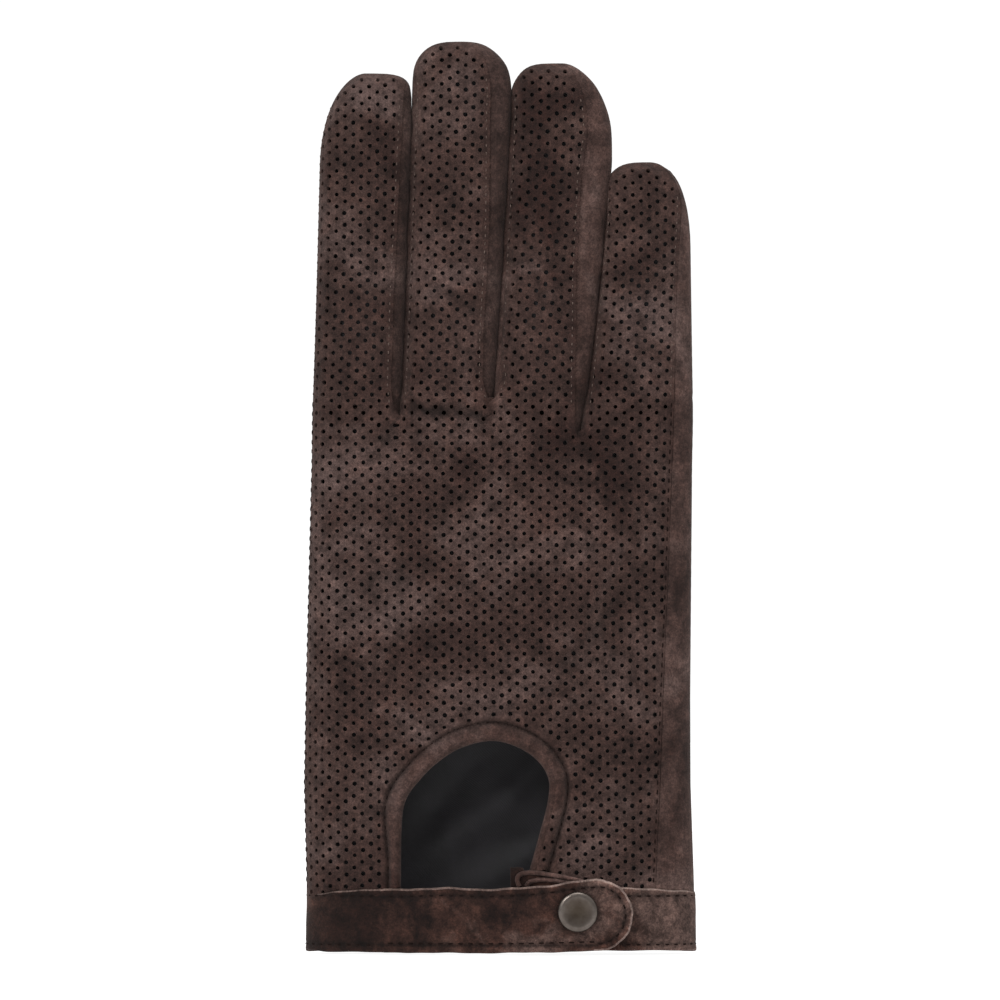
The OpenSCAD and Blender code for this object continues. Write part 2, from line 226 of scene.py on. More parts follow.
def wrap_to(q, cx, a, b, n, table):
    """Where a sheet from the other face must end, past the side, to reach this share of the half width."""
    side = side_length(a, b, n)
    near = 2 - np.interp(q, table[1], table[0])
    return cx + KNEE * a + np.where(q <= KNEE, 2 * side + (KNEE - q) * a, near * side)


def finger_at(x):
    """Which finger's column a place on the hand belongs to, below the slits."""
    return np.searchsorted([c[0] for c in CROTCHES], x)


# ------------------------------------------------------------------ folds and unevenness
WAVES = rng.normal(size=(3, 14, 2)) / np.array([16.0, 7.0, 2.6])[:, None, None]
WAVE_PHASE = rng.uniform(0, 2 * np.pi, size=(3, 14))
WAVE_SIZE = (0.22, 0.10, 0.035)


def unevenness(x, z, shift=0.0):
    """Low irregular swells of the leather, from fixed waves."""
    total = np.zeros(np.broadcast(x, z).shape)
    for waves, phases, size in zip(WAVES, WAVE_PHASE, WAVE_SIZE):
        for (u, v), phase in zip(waves, phases):
            total += size * 0.3 * np.sin(u * x * 2 + v * z * 2 + phase + shift)
    return total


# Creases of the back: two ends, width and height of the fold
CREASES = [
    ((-19, 176), (-11, 171.5), 1.3, 0.30), ((-11, 171.5), (-4.8, 169), 1.2, 0.42),
    ((-17, 171), (-7, 165), 1.6, -0.35),
    ((-24.0, 139.9), (-6.0, 138.4), 1.9, -0.75),
    ((-23, 143.5), (-9, 142.6), 1.8, 0.30),
    ((0.8, 178.4), (10, 177.6), 1.0, -0.25), ((0.8, 180.2), (10, 179.6), 1.0, 0.16),
    ((-13, 136), (-4, 143), 1.6, 0.35), ((2, 136), (-3, 143), 1.6, 0.30),
    ((-30, 131), (-27, 138), 1.8, -0.4), ((22, 126), (20, 134), 1.8, -0.4),
    ((-46, 172), (-37, 168), 1.5, -0.22), ((28, 160), (40, 163), 1.6, -0.24),
    ((14, 70), (34, 96), 3.4, -0.30), ((-40, 92), (-18, 100), 3.6, -0.26),
    ((-34, 60), (-8, 70), 3.0, 0.20), ((4, 112), (32, 106), 3.2, 0.22),
]


def creases(x, z, folds):
    """Height of the folds at a place."""
    total = np.zeros(np.broadcast(x, z).shape)
    for (x0, z0), (x1, z1), width, height in folds:
        along = np.array([x1 - x0, z1 - z0], float)
        length2 = (along ** 2).sum()
        s = np.clip(((x - x0) * along[0] + (z - z0) * along[1]) / length2, -0.35, 1.35)
        dist2 = (x - x0 - s * along[0]) ** 2 + (z - z0 - s * along[1]) ** 2
        fade = 1 - smooth(np.abs(s - 0.5), 0.35, 0.85)
        total += height * fade * np.exp(-dist2 / (2 * (width / 2) ** 2))
    return total


def place(d, z, side, finger=None, lift=0.0):
    """A point of the back (side -1) or palm (side 1) leather, lifted outwards from it."""
    d, z = np.broadcast_arrays(np.asarray(d, float), np.asarray(z, float))
    cx, a, b = hand_dims(z)
    xh, yh = on_section(d, cx, a + lift, b + lift, HAND_N, HAND_SIDE)
    xf, yf = xh.copy(), yh.copy()
    column = finger_at(d) if finger is None else np.full(d.shape, FINGERS.index(finger))
    for i, f in enumerate(FINGERS):
        m = (column == i) & (z > 120)
        if not m.any():
            continue
        fcx, fa, fb = finger_dims(f, z[m])
        fa, fb = np.maximum(fa + lift, 0.5 * fa) - lift, np.maximum(fb + lift, 0.5 * fb) - lift
        x1, y1 = on_section(d[m], fcx, fa + lift, fb + lift, FINGER_N, FINGER_SIDE)
        soft = np.abs((d[m] - fcx) / np.maximum(fa + lift, 0.01))
        crown = (1 - np.minimum(soft * 0.93, 1) ** FINGER_N) ** (1 / FINGER_N)
        y1 = np.where(soft < KNEE, crown * (fb + lift), y1)
        xf[m], yf[m] = x1, y1
    s = smooth(z, *KNUCKLES)
    x, y = lerp(xh, xf, s), lerp(yh, yf, s)
    if side < 0:
        bump = unevenness(x, z) + creases(x, z, CREASES) + roll_groove(x, z) + crotch_rims(x, z)
    else:
        bump = unevenness(x, z, 2.0) * 1.5 + creases(x, z, PALM_CREASES)
    on_face = np.clip(y / np.maximum(b * 0.3, 0.5), 0, 1) * (1 - tip_fade(z, column))
    y = y + bump * on_face
    return np.stack([x, side * y, z], -1)


def tip_fade(z, column):
    tips = np.array([TIP_Z[f] for f in FINGERS])[np.clip(column, 0, 3)]
    return smooth(z, tips - 6, tips - 1)


# ------------------------------------------------------------------ the keyhole's curve
def through(points, per=6):
    """Smooth curve through points."""
    p = np.array(points, float)
    out = []
    for i in range(len(p) - 1):
        p0, p1, p2, p3 = p[max(0, i - 1)], p[i], p[i + 1], p[min(len(p) - 1, i + 2)]
        for s in np.arange(per) / per:
            out.append(0.5 * (2 * p1 + (p2 - p0) * s + (2 * p0 - 5 * p1 + 4 * p2 - p3) * s ** 2
                              + (3 * p1 - p0 - 3 * p2 + p3) * s ** 3))
    return np.array(out + [p[-1]])


def resample(curve, step):
    way = walked(curve)
    t = np.linspace(0, way[-1], max(2, int(round(way[-1] / step)) + 1))
    return np.stack([np.interp(t, way, curve[:, k]) for k in range(curve.shape[1])], -1)


def outward(curve, distance):
    """The curve moved to its left-hand side."""
    tangent = unit(np.gradient(curve, axis=0))
    return curve + np.reshape(distance, (-1, 1)) * pairs(-tangent[:, 1], tangent[:, 0])


KEY_CURVE = resample(through(KEY), 0.8)


def key_distance(x, z):
    """Distance from the keyhole's edge, roughly."""
    p = pairs(np.ravel(x), np.ravel(z))
    near = np.full(len(p), 99.0)
    close = (np.abs(p[:, 0] + 6) < 40) & (p[:, 1] < 75)
    if close.any():
        gap = p[close][:, None, :] - KEY_CURVE[None, :, :]
        near[close] = np.sqrt((gap ** 2).sum(-1).min(1))
    return near.reshape(np.shape(x))


def groove_at(x, z):
    """Distance of the sewn line from the keyhole's edge: nearer low down on the left."""
    return 4.7 - 1.5 * smooth(-x, 16, 22) * (1 - smooth(z, 22, 40))


def crotch_rims(x, z):
    """The leather stands up a little round the foot of each slit."""
    total = np.zeros(np.broadcast(x, z).shape)
    for cx, cz in CROTCHES:
        away = np.hypot(x - cx, np.minimum(z - cz, 0))
        total += 0.45 * hump(away, 2.6, 1.2) * (1 - smooth(z, cz, cz + 7))
    return total


def roll_groove(x, z):
    """The turned edge stands up a little round the keyhole, and the sewn line sinks in outside it."""
    near = key_distance(x, z)
    groove = groove_at(x, z)
    puff = 0.85 * np.clip(1 - ((near - groove * 0.45) / (groove * 0.5)) ** 2, 0, 1)
    swell = 0.15 * hump(near - groove, 2.4, 1.5)
    return puff * smooth(z, COVER_FROM, COVERED + 0.5) + swell - 0.75 * hump(near, groove, 0.6)


def back_painted_shading(x, z):
    """Painted light and shade on the back: painted shade in the keyhole's sewn groove, in crease hollows and
    towards the index-side edge; painted highlights on the turned edge, the ridge outside the groove, crease
    crests and the rims round each slit's foot.
    """
    near = key_distance(x, z)
    groove = groove_at(x, z)
    painted_shading = 1 - 0.62 * hump(near, groove, 0.55) + 0.30 * hump(near, 1.6, 1.1)
    painted_shading += 0.16 * hump(near - groove, 1.3, 0.5)
    painted_shading += 1.1 * creases(x, z, CREASES)
    for cx, cz in CROTCHES:
        away = np.hypot(x - cx, np.minimum(z - cz - 1.2, 0))
        painted_shading += 0.95 * hump(away, 2.4, 0.85) * (1 - smooth(z, cz, cz + 8))
    painted_shading -= 0.30 * np.exp(-np.maximum(x - seam_left(z), 0) / 4.5)
    return np.clip(painted_shading, 0.3, 1.8)


PALM_CREASES = [
    ((-40, 112), (30, 122), 3.0, -0.5), ((-44, 40), (-20, 112), 3.5, -0.45),
    ((-10, 60), (30, 84), 4.0, -0.35), ((20, 30), (42, 60), 4.0, 0.3),
    ((-46, 170), (-28, 170), 2.2, -0.45), ((-24, 178), (-2, 178), 2.2, -0.45),
    ((2, 175), (24, 175), 2.2, -0.45), ((26, 168), (46, 168), 2.2, -0.4),
    ((-46, 146), (-28, 146), 2.2, -0.3), ((-24, 148), (-2, 148), 2.2, -0.3),
    ((0, 146), (20, 146), 2.2, -0.3), ((24, 142), (46, 142), 2.2, -0.3),
]


# ------------------------------------------------------------------ materials
def nodes_of(name):
    material = bpy.data.materials.new(name)
    material.use_nodes = True
    tree = material.node_tree
    return material, tree, tree.nodes["Principled BSDF"]


def fill(tree, node, inputs):
    """Set a node's inputs: another node's output is linked, and anything else is a value."""
    for key, value in inputs.items():
        if isinstance(value, bpy.types.NodeSocket):
            tree.links.new(value, node.inputs[key])
        else:
            node.inputs[key].default_value = value


def add(tree, kind, inputs=None, **settings):
    node = tree.nodes.new(kind)
    for key, value in settings.items():
        setattr(node, key, value)
    fill(tree, node, inputs or {})
    return node


def noise(tree, coords, scale, detail=3.0, rough=0.55, distortion=0.0):
    return add(tree, "ShaderNodeTexNoise", {"Vector": coords, "Scale": scale, "Detail": detail,
                                            "Roughness": rough, "Distortion": distortion}).outputs["Fac"]


def ramp(tree, value, stops):
    node = add(tree, "ShaderNodeValToRGB", {"Fac": value})
    while len(node.color_ramp.elements) < len(stops):
        node.color_ramp.elements.new(0.5)
    for element, (where, colour) in zip(node.color_ramp.elements, stops):
        element.position = where
        element.color = (*colour, 1)
    return node.outputs["Color"]


def multiply(tree, a, b, share=1.0):
    """Two colours multiplied; the inputs of this node go by number, as their names repeat."""
    node = add(tree, "ShaderNodeMix", {0: share, 6: a, 7: b}, data_type="RGBA", blend_type="MULTIPLY")
    return node.outputs[2]


def bump(tree, height, strength, distance, normal=None):
    inputs = {"Strength": strength, "Distance": distance, "Height": height}
    if normal is not None:
        inputs["Normal"] = normal
    return add(tree, "ShaderNodeBump", inputs).outputs["Normal"]


def stored(tree, name):
    return add(tree, "ShaderNodeAttribute", attribute_name=name)


def suede(name, dark, mid, light, soft=1.0):
    """Brushed suede: brushed patches, streaky nap, fine fibres and a soft sheen."""
    material, tree, shader = nodes_of(name)
    at = stored(tree, "rest").outputs["Vector"]
    patches = noise(tree, at, 34.0, 5.0, 0.62, 0.5)
    small = noise(tree, at, 260.0, 5.0, 0.72, 0.3)
    flecks = noise(tree, at, 950.0, 4.0, 0.75, 0.2)
    fibre = noise(tree, at, 2300.0, 3.0, 0.75)
    middle = 0.51
    colour = ramp(tree, patches, [(middle - 0.15 * soft, dark), (middle, mid), (middle + 0.17 * soft, light)])
    tint = ramp(tree, small, [(middle - 0.21 * soft, (0.40, 0.38, 0.37)), (middle, (1, 1, 1)),
                              (middle + 0.21 * soft, (1.65, 1.63, 1.60))])
    colour = multiply(tree, colour, tint)
    # The piece's painted light and shade scales the colour here
    colour = multiply(tree, colour, stored(tree, "painted_shading").outputs["Color"])
    mottle = ramp(tree, flecks, [(0.32, (0.62, 0.60, 0.59)), (0.52, (1, 1, 1)), (0.70, (1.5, 1.48, 1.46))])
    colour = multiply(tree, colour, mottle)
    grain = ramp(tree, fibre, [(0.30, (0.50, 0.48, 0.48)), (0.70, (1.48, 1.46, 1.44))])
    normal = None
    for height, strength, distance in ((small, 0.35, 0.0006), (flecks, 0.6, 0.0003), (fibre, 0.75, 0.00022)):
        normal = bump(tree, height, strength, distance, normal)
    fill(tree, shader, {
        "Base Color": multiply(tree, colour, grain, 0.85), "Roughness": 0.95, "Specular IOR Level": 0.18,
        "Sheen Weight": 0.09, "Sheen Roughness": 0.55, "Sheen Tint": (0.62, 0.50, 0.46, 1), "Normal": normal})
    return material


def lining_material():
    """Black knit with a faint diagonal rib."""
    material, tree, shader = nodes_of("black_lining")
    at = stored(tree, "rest").outputs["Vector"]
    knit = add(tree, "ShaderNodeTexWave", {"Vector": at, "Scale": 900.0, "Distortion": 1.2, "Detail": 1.0},
               wave_type="BANDS", bands_direction="DIAGONAL")
    soft = noise(tree, at, 90.0)
    colour = ramp(tree, soft, [(0.35, (0.0044, 0.0036, 0.0048)), (0.65, (0.0100, 0.0084, 0.0108))])
    normal = bump(tree, knit.outputs["Fac"], 0.3, 0.00012)
    normal = bump(tree, noise(tree, at, 1500.0, 2.0), 0.3, 0.0001, normal)
    fill(tree, shader, {"Base Color": colour, "Roughness": 0.62, "Specular IOR Level": 0.35,
                        "Sheen Weight": 0.10, "Sheen Roughness": 0.4, "Normal": normal})
    return material


# Middle and radius of the stud's cap, in metres, round which its painted highlight is laid
CAP_CENTRE = (0.0197, 0.0, 0.0108)
CAP_RADIUS = 0.0052


def metal_material():
    """Aged nickel: cloudy, with a painted highlight towards the rim of the stud's cap and a darker painted
    reflection in its middle.
    """
    material, tree, shader = nodes_of("aged_nickel")
    at = stored(tree, "rest").outputs["Vector"]
    cloudy = noise(tree, at, 420.0, 4.0, 0.6)
    colour = ramp(tree, cloudy, [(0.3, (0.072, 0.058, 0.049)), (0.7, (0.112, 0.095, 0.083))])
    centre = add(tree, "ShaderNodeVectorMath", {0: at, 1: CAP_CENTRE}, operation="SUBTRACT")
    flat = add(tree, "ShaderNodeVectorMath", {0: centre.outputs[0], 1: (1, 0, 1)}, operation="MULTIPLY")
    away = add(tree, "ShaderNodeVectorMath", {0: flat.outputs[0]}, operation="LENGTH")
    spread = add(tree, "ShaderNodeMapRange", {"Value": away.outputs["Value"], "From Max": CAP_RADIUS})
    # Painted highlight and reflection: darker in the cap's middle, brighter towards its rim
    painted_cap_highlight = ramp(tree, spread.outputs["Result"],
                [(0.2, (0.62, 0.58, 0.52)), (0.6, (0.88, 0.86, 0.84)), (0.8, (1.25, 1.27, 1.30))])
    rough = add(tree, "ShaderNodeMapRange", {"Value": cloudy, "To Min": 0.24, "To Max": 0.36})
    fill(tree, shader, {"Base Color": multiply(tree, colour, painted_cap_highlight), "Metallic": 1.0,
                        "Roughness": rough.outputs["Result"],
                        "Normal": bump(tree, noise(tree, at, 5200.0, 2.0), 0.12, 0.00005)})
    return material


def thread_material(name, dark, light):
    material, tree, shader = nodes_of(name)
    strands = noise(tree, stored(tree, "rest").outputs["Vector"], 2600.0, 2.0)
    fill(tree, shader, {"Base Color": ramp(tree, strands, [(0.3, dark), (0.7, light)]), "Roughness": 0.9,
                        "Specular IOR Level": 0.08, "Normal": bump(tree, strands, 0.5, 0.0001)})
    return material


PERFORATED = suede("perforated_suede",
                   (0.0170, 0.0072, 0.0057), (0.0380, 0.0208, 0.0173), (0.0750, 0.0490, 0.0440))
PLAIN = suede("plain_suede",
              (0.0220, 0.0110, 0.0089), (0.0510, 0.0292, 0.0248), (0.0950, 0.0625, 0.0555))
DARK_PLAIN = suede("cuff_suede",
                   (0.0095, 0.0038, 0.0028), (0.0325, 0.0147, 0.0108), (0.0810, 0.0510, 0.0435), soft=0.72)
RAW_EDGE = suede("raw_edge", (0.070, 0.048, 0.041), (0.105, 0.074, 0.065), (0.15, 0.112, 0.098))
LINING = lining_material()
METAL = metal_material()
THREAD = thread_material("brown_thread", (0.050, 0.034, 0.028), (0.13, 0.094, 0.080))
DARK_THREAD = thread_material("dark_thread", (0.004, 0.0020, 0.0016), (0.012, 0.0065, 0.0052))


# ------------------------------------------------------------------ mesh helpers
def placed(name, data):
    obj = bpy.data.objects.new(name, data)
    bpy.context.scene.collection.objects.link(obj)
    return obj


def piece(name, verts_mm, faces, material, edge_material=None, edge_from=None, sharp=50.0, shade=None):
    """A mesh object in metres, smooth shaded, with its rest places and its painted light and shade stored for
    its material.
    """
    verts = np.asarray(verts_mm, float) * MM
    mesh = bpy.data.meshes.new(name)
    mesh.from_pydata(verts.tolist(), [], [list(map(int, f)) for f in faces])
    mesh.materials.append(material)
    if edge_material is not None:
        mesh.materials.append(edge_material)
        for polygon in mesh.polygons[edge_from[0]:edge_from[1]]:
            polygon.material_index = 1
    mesh.update()
    mesh.polygons.foreach_set("use_smooth", np.ones(len(mesh.polygons), bool))
    mesh.set_sharp_from_angle(angle=math.radians(sharp))
    rest = mesh.attributes.new("rest", "FLOAT_VECTOR", "POINT")
    rest.data.foreach_set("vector", verts.astype(np.float32).ravel())
    # Painted light and shade per point, by which the material scales its colour
    painted_shading = mesh.attributes.new("painted_shading", "FLOAT", "POINT")
    values = np.ones(len(verts)) if shade is None else shade
    painted_shading.data.foreach_set("value", values.astype(np.float32))
    return placed(name, mesh)


def vertex_normals(verts, tris):
    v = np.asarray(verts)
    t = np.asarray(tris)
    face = np.cross(v[t[:, 1]] - v[t[:, 0]], v[t[:, 2]] - v[t[:, 0]])
    total = np.zeros_like(v)
    for k in range(3):
        np.add.at(total, t[:, k], face)
    return total / np.maximum(np.linalg.norm(total, axis=1), 1e-12)[:, None]


def closed(verts, tris, thickness):
    """A sheet given thickness on its inner side: both skins and a wall along every free edge."""
    tris = np.asarray(tris)
    inner = verts - vertex_normals(verts, tris) * thickness
    count = len(verts)
    edges = np.concatenate([tris[:, [0, 1]], tris[:, [1, 2]], tris[:, [2, 0]]])
    _, first, times = np.unique(np.sort(edges, axis=1), axis=0, return_index=True, return_counts=True)
    free = edges[first[times == 1]]
    walls = np.stack([free[:, 1], free[:, 0], free[:, 0] + count, free[:, 1] + count], -1)
    return np.concatenate([verts, inner]), tris.tolist() + (tris[:, ::-1] + count).tolist() + walls.tolist()


def sheet(name, verts, tris, thickness, material, shade=None):
    return piece(name, *closed(verts, tris, thickness), material, shade=shade)


def grid_tris(rows, cols, ring=False):
    """Triangles of a grid of points."""
    tris = []
    for i in range(rows - 1):
        for j in range(cols - (0 if ring else 1)):
            a, b = i * cols + j, i * cols + (j + 1) % cols
            tris += [(a, a + cols, b), (b, a + cols, b + cols)]
    return np.array(tris)


def tube_faces(rows, sides):
    """Faces of a closed tube made of rings of points."""
    faces = []
    for i in range(0, (rows - 1) * sides, sides):
        for j in range(sides):
            k = (j + 1) % sides
            faces.append((i + j, i + k, i + sides + k, i + sides + j))
    return faces + [tuple(range(sides))[::-1], tuple((rows - 1) * sides + j for j in range(sides))]


def facing(verts, tris, middle):
    """Triangles wound so that they face away from a middle line, given as a function of the points."""
    v = np.asarray(verts)
    normal = np.cross(v[tris[:, 1]] - v[tris[:, 0]], v[tris[:, 2]] - v[tris[:, 0]])
    centre = v[tris].mean(1)
    if ((centre - middle(centre)) * normal).sum() < 0:
        return tris[:, ::-1]
    return tris


def inside(points, outline):
    x, z = points[:, 0], points[:, 1]
    result = np.zeros(len(points), bool)
    for (ax, az), (bx, bz) in zip(outline, np.roll(outline, -1, axis=0)):
        with np.errstate(divide="ignore", invalid="ignore"):
            at = ax + (z - az) * (bx - ax) / (bz - az)
        result ^= ((az > z) != (bz > z)) & (x < at)
    return result


def edge_distance(points, outline, use=None):
    best = np.full(len(points), 1e9)
    use = np.ones(len(outline), bool) if use is None else use
    for a, b in zip(outline[use], np.roll(outline, -1, axis=0)[use]):
        along = b - a
        s = np.clip(((points - a) @ along) / max((along ** 2).sum(), 1e-12), 0, 1)
        best = np.minimum(best, ((points - a - s[:, None] * along) ** 2).sum(1))
    return np.sqrt(best)


def lattice(outline, margin, finger=None):
    """Staggered places of the perforations, a little uneven, inside an outline; they lean with the finger."""
    lo, hi = outline.min(0), outline.max(0)
    rows = np.arange(math.floor(lo[1] / HOLE_ROW), math.ceil(hi[1] / HOLE_ROW) + 1)
    points = []
    columns = np.arange(math.floor(lo[0] / HOLE_PITCH) - 1, math.ceil(hi[0] / HOLE_PITCH) + 1)
    for row in rows:
        shift = HOLE_PITCH / 2 if row % 2 else 0.0
        points.append(pairs(columns * HOLE_PITCH + shift, row * HOLE_ROW))
    p = np.concatenate(points)
    x, z = p[:, 0].copy(), p[:, 1].copy()
    away = smooth(np.abs(z - BEND_START), 2, 25)
    p[:, 0] += (0.35 * np.sin(z / 23 + 0.6) + 0.25 * np.sin(x / 17 + z / 31)
                + 0.13 * np.sin(37.1 * x + 91.7 * z))
    sway = 0.40 * np.sin(x / 19 + 1.1) + 0.30 * np.sin(z / 29 - x / 41) + 0.14 * np.sin(53.3 * x - 17.9 * z)
    p[:, 1] += sway * away
    if finger is not None:
        foot, tip = FINGER_SHAPE[finger][0], FINGER_SHAPE[finger][2]
        lean = along_finger(finger, p[:, 1]) - along_finger(finger, BEND_START)
        p[:, 0] += (tip - foot) * lean * smooth(p[:, 1], BEND_START, BEND_START + 6)
    p = p[inside(p, outline)]
    on_cut = (outline[:, 1] == BEND_START) & (np.roll(outline[:, 1], -1) == BEND_START)
    apart = np.abs(p[:, 1] - BEND_START) > HOLE_R + 0.12
    return p[(edge_distance(p, outline, ~on_cut) > margin) & apart]


def triangulate(points, edges, outline):
    """Triangles inside an outline that keep the edges: places, triangles, and where each place came from."""
    out = delaunay_2d_cdt([Vector(p) for p in points], edges, [], 0, 1e-6)
    flat = np.array([tuple(v) for v in out[0]])
    tris = np.array([f for f in out[2] if len(f) == 3])
    return flat, tris[inside(flat[tris].mean(1), outline)], out[3]


def wound(flat, tris, side):
    """Triangles all wound counter-clockwise for side -1, which faces the viewer, or clockwise for side 1."""
    a, b, c = (flat[tris[:, k]] for k in range(3))
    area = (b[:, 0] - a[:, 0]) * (c[:, 1] - a[:, 1]) - (b[:, 1] - a[:, 1]) * (c[:, 0] - a[:, 0])
    return np.where((area * side > 0)[:, None], tris[:, ::-1], tris)


def sheet_mesh(outline, finger, side, lift, holes=None, fill=None):
    """Triangulated leather inside an outline, with its holes cut out, laid on the glove."""
    points = [tuple(p) for p in outline]
    owner = [-1] * len(points)
    edges = [(i, (i + 1) % len(outline)) for i in range(len(outline))]
    if holes is not None:
        turn = np.arange(HOLE_SIDES) * 2 * np.pi / HOLE_SIDES
        for k, (cx, cz) in enumerate(holes):
            first = len(points)
            radius = HOLE_R * (0.94 + 0.09 * math.sin(29.7 * cx + 61.3 * cz))
            points += [(cx + radius * math.cos(t), cz + radius * math.sin(t)) for t in turn]
            owner += [k] * HOLE_SIDES
            edges += [(first + i, first + (i + 1) % HOLE_SIDES) for i in range(HOLE_SIDES)]
    if fill is not None:
        points += [tuple(p) for p in fill]
        owner += [-1] * len(fill)
    flat, tris, origins = triangulate(points, edges, outline)
    of = np.array([owner[o[0]] if o else -1 for o in origins])[tris]
    tris = tris[~((of[:, 0] >= 0) & (of[:, 0] == of[:, 1]) & (of[:, 1] == of[:, 2]))]
    used = np.unique(tris)
    index = np.full(len(flat), -1)
    index[used] = np.arange(len(used))
    flat, tris = flat[used], wound(flat[used], index[tris], side)
    return place(flat[:, 0], flat[:, 1], side, finger, lift), tris


# ------------------------------------------------------------------ outlines of the panels
def seam_left(z):
    """The leather's own left edge, on the widest line of the index side."""
    cx, a, b = hand_dims(z)
    hand = cx - KNEE * a - side_length(a, b, HAND_N)
    fcx, fa, fb = finger_dims("index", z)
    tip = fcx - KNEE * fa - side_length(fa, fb, FINGER_N)
    return lerp(hand, tip, smooth(z, *KNUCKLES))


def seam_right(z):
    """The seam on the little-finger side, a little onto the back."""
    hand_q, finger_q = seam_shares(z)
    hand = across_to(hand_q, *hand_dims(z), HAND_N, HAND_SIDE)
    finger = across_to(finger_q, *finger_dims("little", z), FINGER_N, FINGER_SIDE)
    return lerp(hand, finger, smooth(z, *KNUCKLES))


def seam_shares(z):
    """That seam's place as shares of the hand's and of the little finger's half width."""
    x = np.interp(z, [13, 26.5, 39, 65, 100, 135, 152, 173, 190],
                  [39.6, 40.1, 40.7, 41.6, 43.1, 44.3, 44.8, 45.3, 46.3])
    shares = [(x - dims[0]) / dims[1] for dims in (hand_dims(z), finger_dims("little", z))]
    return np.minimum(shares[0], 0.95), np.minimum(shares[1], 0.90)


def edge_share(f, z, right):
    return np.interp(z, *zip(*(RIGHT_EDGE if right else LEFT_EDGE)[f]))


def edge_x(f, z, right):
    """Edge of the perforated panel on a finger, as a distance across the leather."""
    z = np.asarray(z, float)
    if f == "index" and not right:
        return seam_left(z)
    if f == "little" and right:
        return seam_right(z)
    return across_to(edge_share(f, z, right), *finger_dims(f, z), FINGER_N, FINGER_SIDE)


def tip_heights(f, start, step=1.6):
    shaft = np.arange(start, TIP_Z[f] - TIP_H, step)
    turns = np.linspace(0.02, 0.985, 16) * np.pi / 2
    return np.concatenate([shaft, TIP_Z[f] - TIP_H + TIP_H * np.sin(turns) ** 0.9])


def cut_line(f, edge):
    """Where the panels of a finger and of the hand meet, between the edges that edge() gives."""
    return pairs(np.linspace(edge(f, BEND_START, False), edge(f, BEND_START, True), 12), BEND_START)


def finger_outline(f, edge):
    """Panel of one finger beyond the bend line, between the edges that edge() gives."""
    z = tip_heights(f, BEND_START)
    left, right = pairs(edge(f, z, False), z), pairs(edge(f, z, True), z)
    cut = pairs(np.linspace(left[0, 0], right[0, 0], 12)[1:-1], BEND_START)
    return np.concatenate([left[::-1], cut, right])


def slit(k):
    """Round-bottomed slit between two fingers, from the left finger's edge to the right one's."""
    down = np.arange(BEND_START, CROTCHES[k][1] + 1.2, -1.5)
    up = down[::-1]
    left = pairs(edge_x(FINGERS[k], down, True), down)
    return np.concatenate([left, [CROTCHES[k]], pairs(edge_x(FINGERS[k + 1], up, False), up)])


def hand_outline(key_gap):
    """Back panel of the hand up to the bend line, with the keyhole and the slits."""
    z = np.arange(PANEL_FOOT, BEND_START - 0.5, 1.6)
    left, right = pairs(seam_left(z), z), pairs(seam_right(z), z)[::-1]
    top = [cut_line("index", edge_x)]
    for k in range(3):
        top += [slit(k)[1:-1], cut_line(FINGERS[k + 1], edge_x)]
    key = outward(KEY_CURVE, key_gap)
    key = resample(key[key[:, 1] > PANEL_FOOT + 0.2], 1.2)
    foot_right = pairs(np.linspace(right[-1, 0], key[-1, 0], 26)[1:-1], PANEL_FOOT)
    foot_left = pairs(np.linspace(key[0, 0], left[0, 0], 18)[1:-1], PANEL_FOOT)
    return np.concatenate([left] + top + [right, foot_right, key[::-1], foot_left])


# ------------------------------------------------------------------ back of the glove
def skin_painted_shading(verts):
    """Painted light and shade of the outer skin, and painted shade on the inner skin, so the holes darken
    inwards.
    """
    return np.concatenate([back_painted_shading(verts[:, 0], verts[:, 2]), np.full(len(verts), 0.25)])


def make_backs():
    """The perforated leather of the back and of each finger's back."""
    outline = hand_outline(0.8)
    holes = lattice(outline, HOLE_R + 0.35)
    near, groove = key_distance(holes[:, 0], holes[:, 1]), groove_at(holes[:, 0], holes[:, 1])
    low = (holes[:, 1] < 36) & (near < groove - 0.9) & (near > 1.5)
    holes = holes[(near > groove + 1.0) | low]
    rows = np.concatenate([resample(outward(KEY_CURVE, d), 0.9) for d in np.arange(1.25, 6.6, 0.36)])
    rows = rows[inside(rows, outline)]
    rows = rows[edge_distance(rows, outline) > 0.3]
    apart = np.sqrt(((rows[:, None, :] - holes[None, :, :]) ** 2).sum(-1)).min(1) > HOLE_R + 0.25
    verts, tris = sheet_mesh(outline, None, -1, 0.0, holes, rows[apart])
    hand = sheet("back_panel_suede", verts, tris, SUEDE_T, PERFORATED, skin_painted_shading(verts))
    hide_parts("back_panel")
    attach(hand, "hand")
    for f in FINGERS:
        outline = finger_outline(f, edge_x)
        verts, tris = sheet_mesh(outline, f, -1, 0.0, lattice(outline, HOLE_R + 0.3, f))
        back = sheet(f + "_back_suede", verts, tris, SUEDE_T, PERFORATED, skin_painted_shading(verts))
        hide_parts(f + "_back")
        bend(back, f)


def bend(obj, f):
    """Leather that crosses a finger's hinge: its transform is baked into its mesh."""
    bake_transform(obj)


# ------------------------------------------------------------------ palm side
PALM_EDGE = 0.72


def palm_edge_x(f, z, right):
    """Edge of the plain palm panel on a finger."""
    z = np.asarray(z, float)
    if f == "index" and not right:
        return seam_left(z)
    cx, a, b = finger_dims(f, z)
    if f == "little" and right:
        hand_q, finger_q = seam_shares(z)
        hand = wrap_to(hand_q, *hand_dims(z), HAND_N, HAND_SIDE) - 0.12
        finger = wrap_to(finger_q, cx, a, b, FINGER_N, FINGER_SIDE) - 0.12
        return lerp(hand, finger, smooth(z, *KNUCKLES))
    return cx + a * PALM_EDGE * (1 if right else -1)


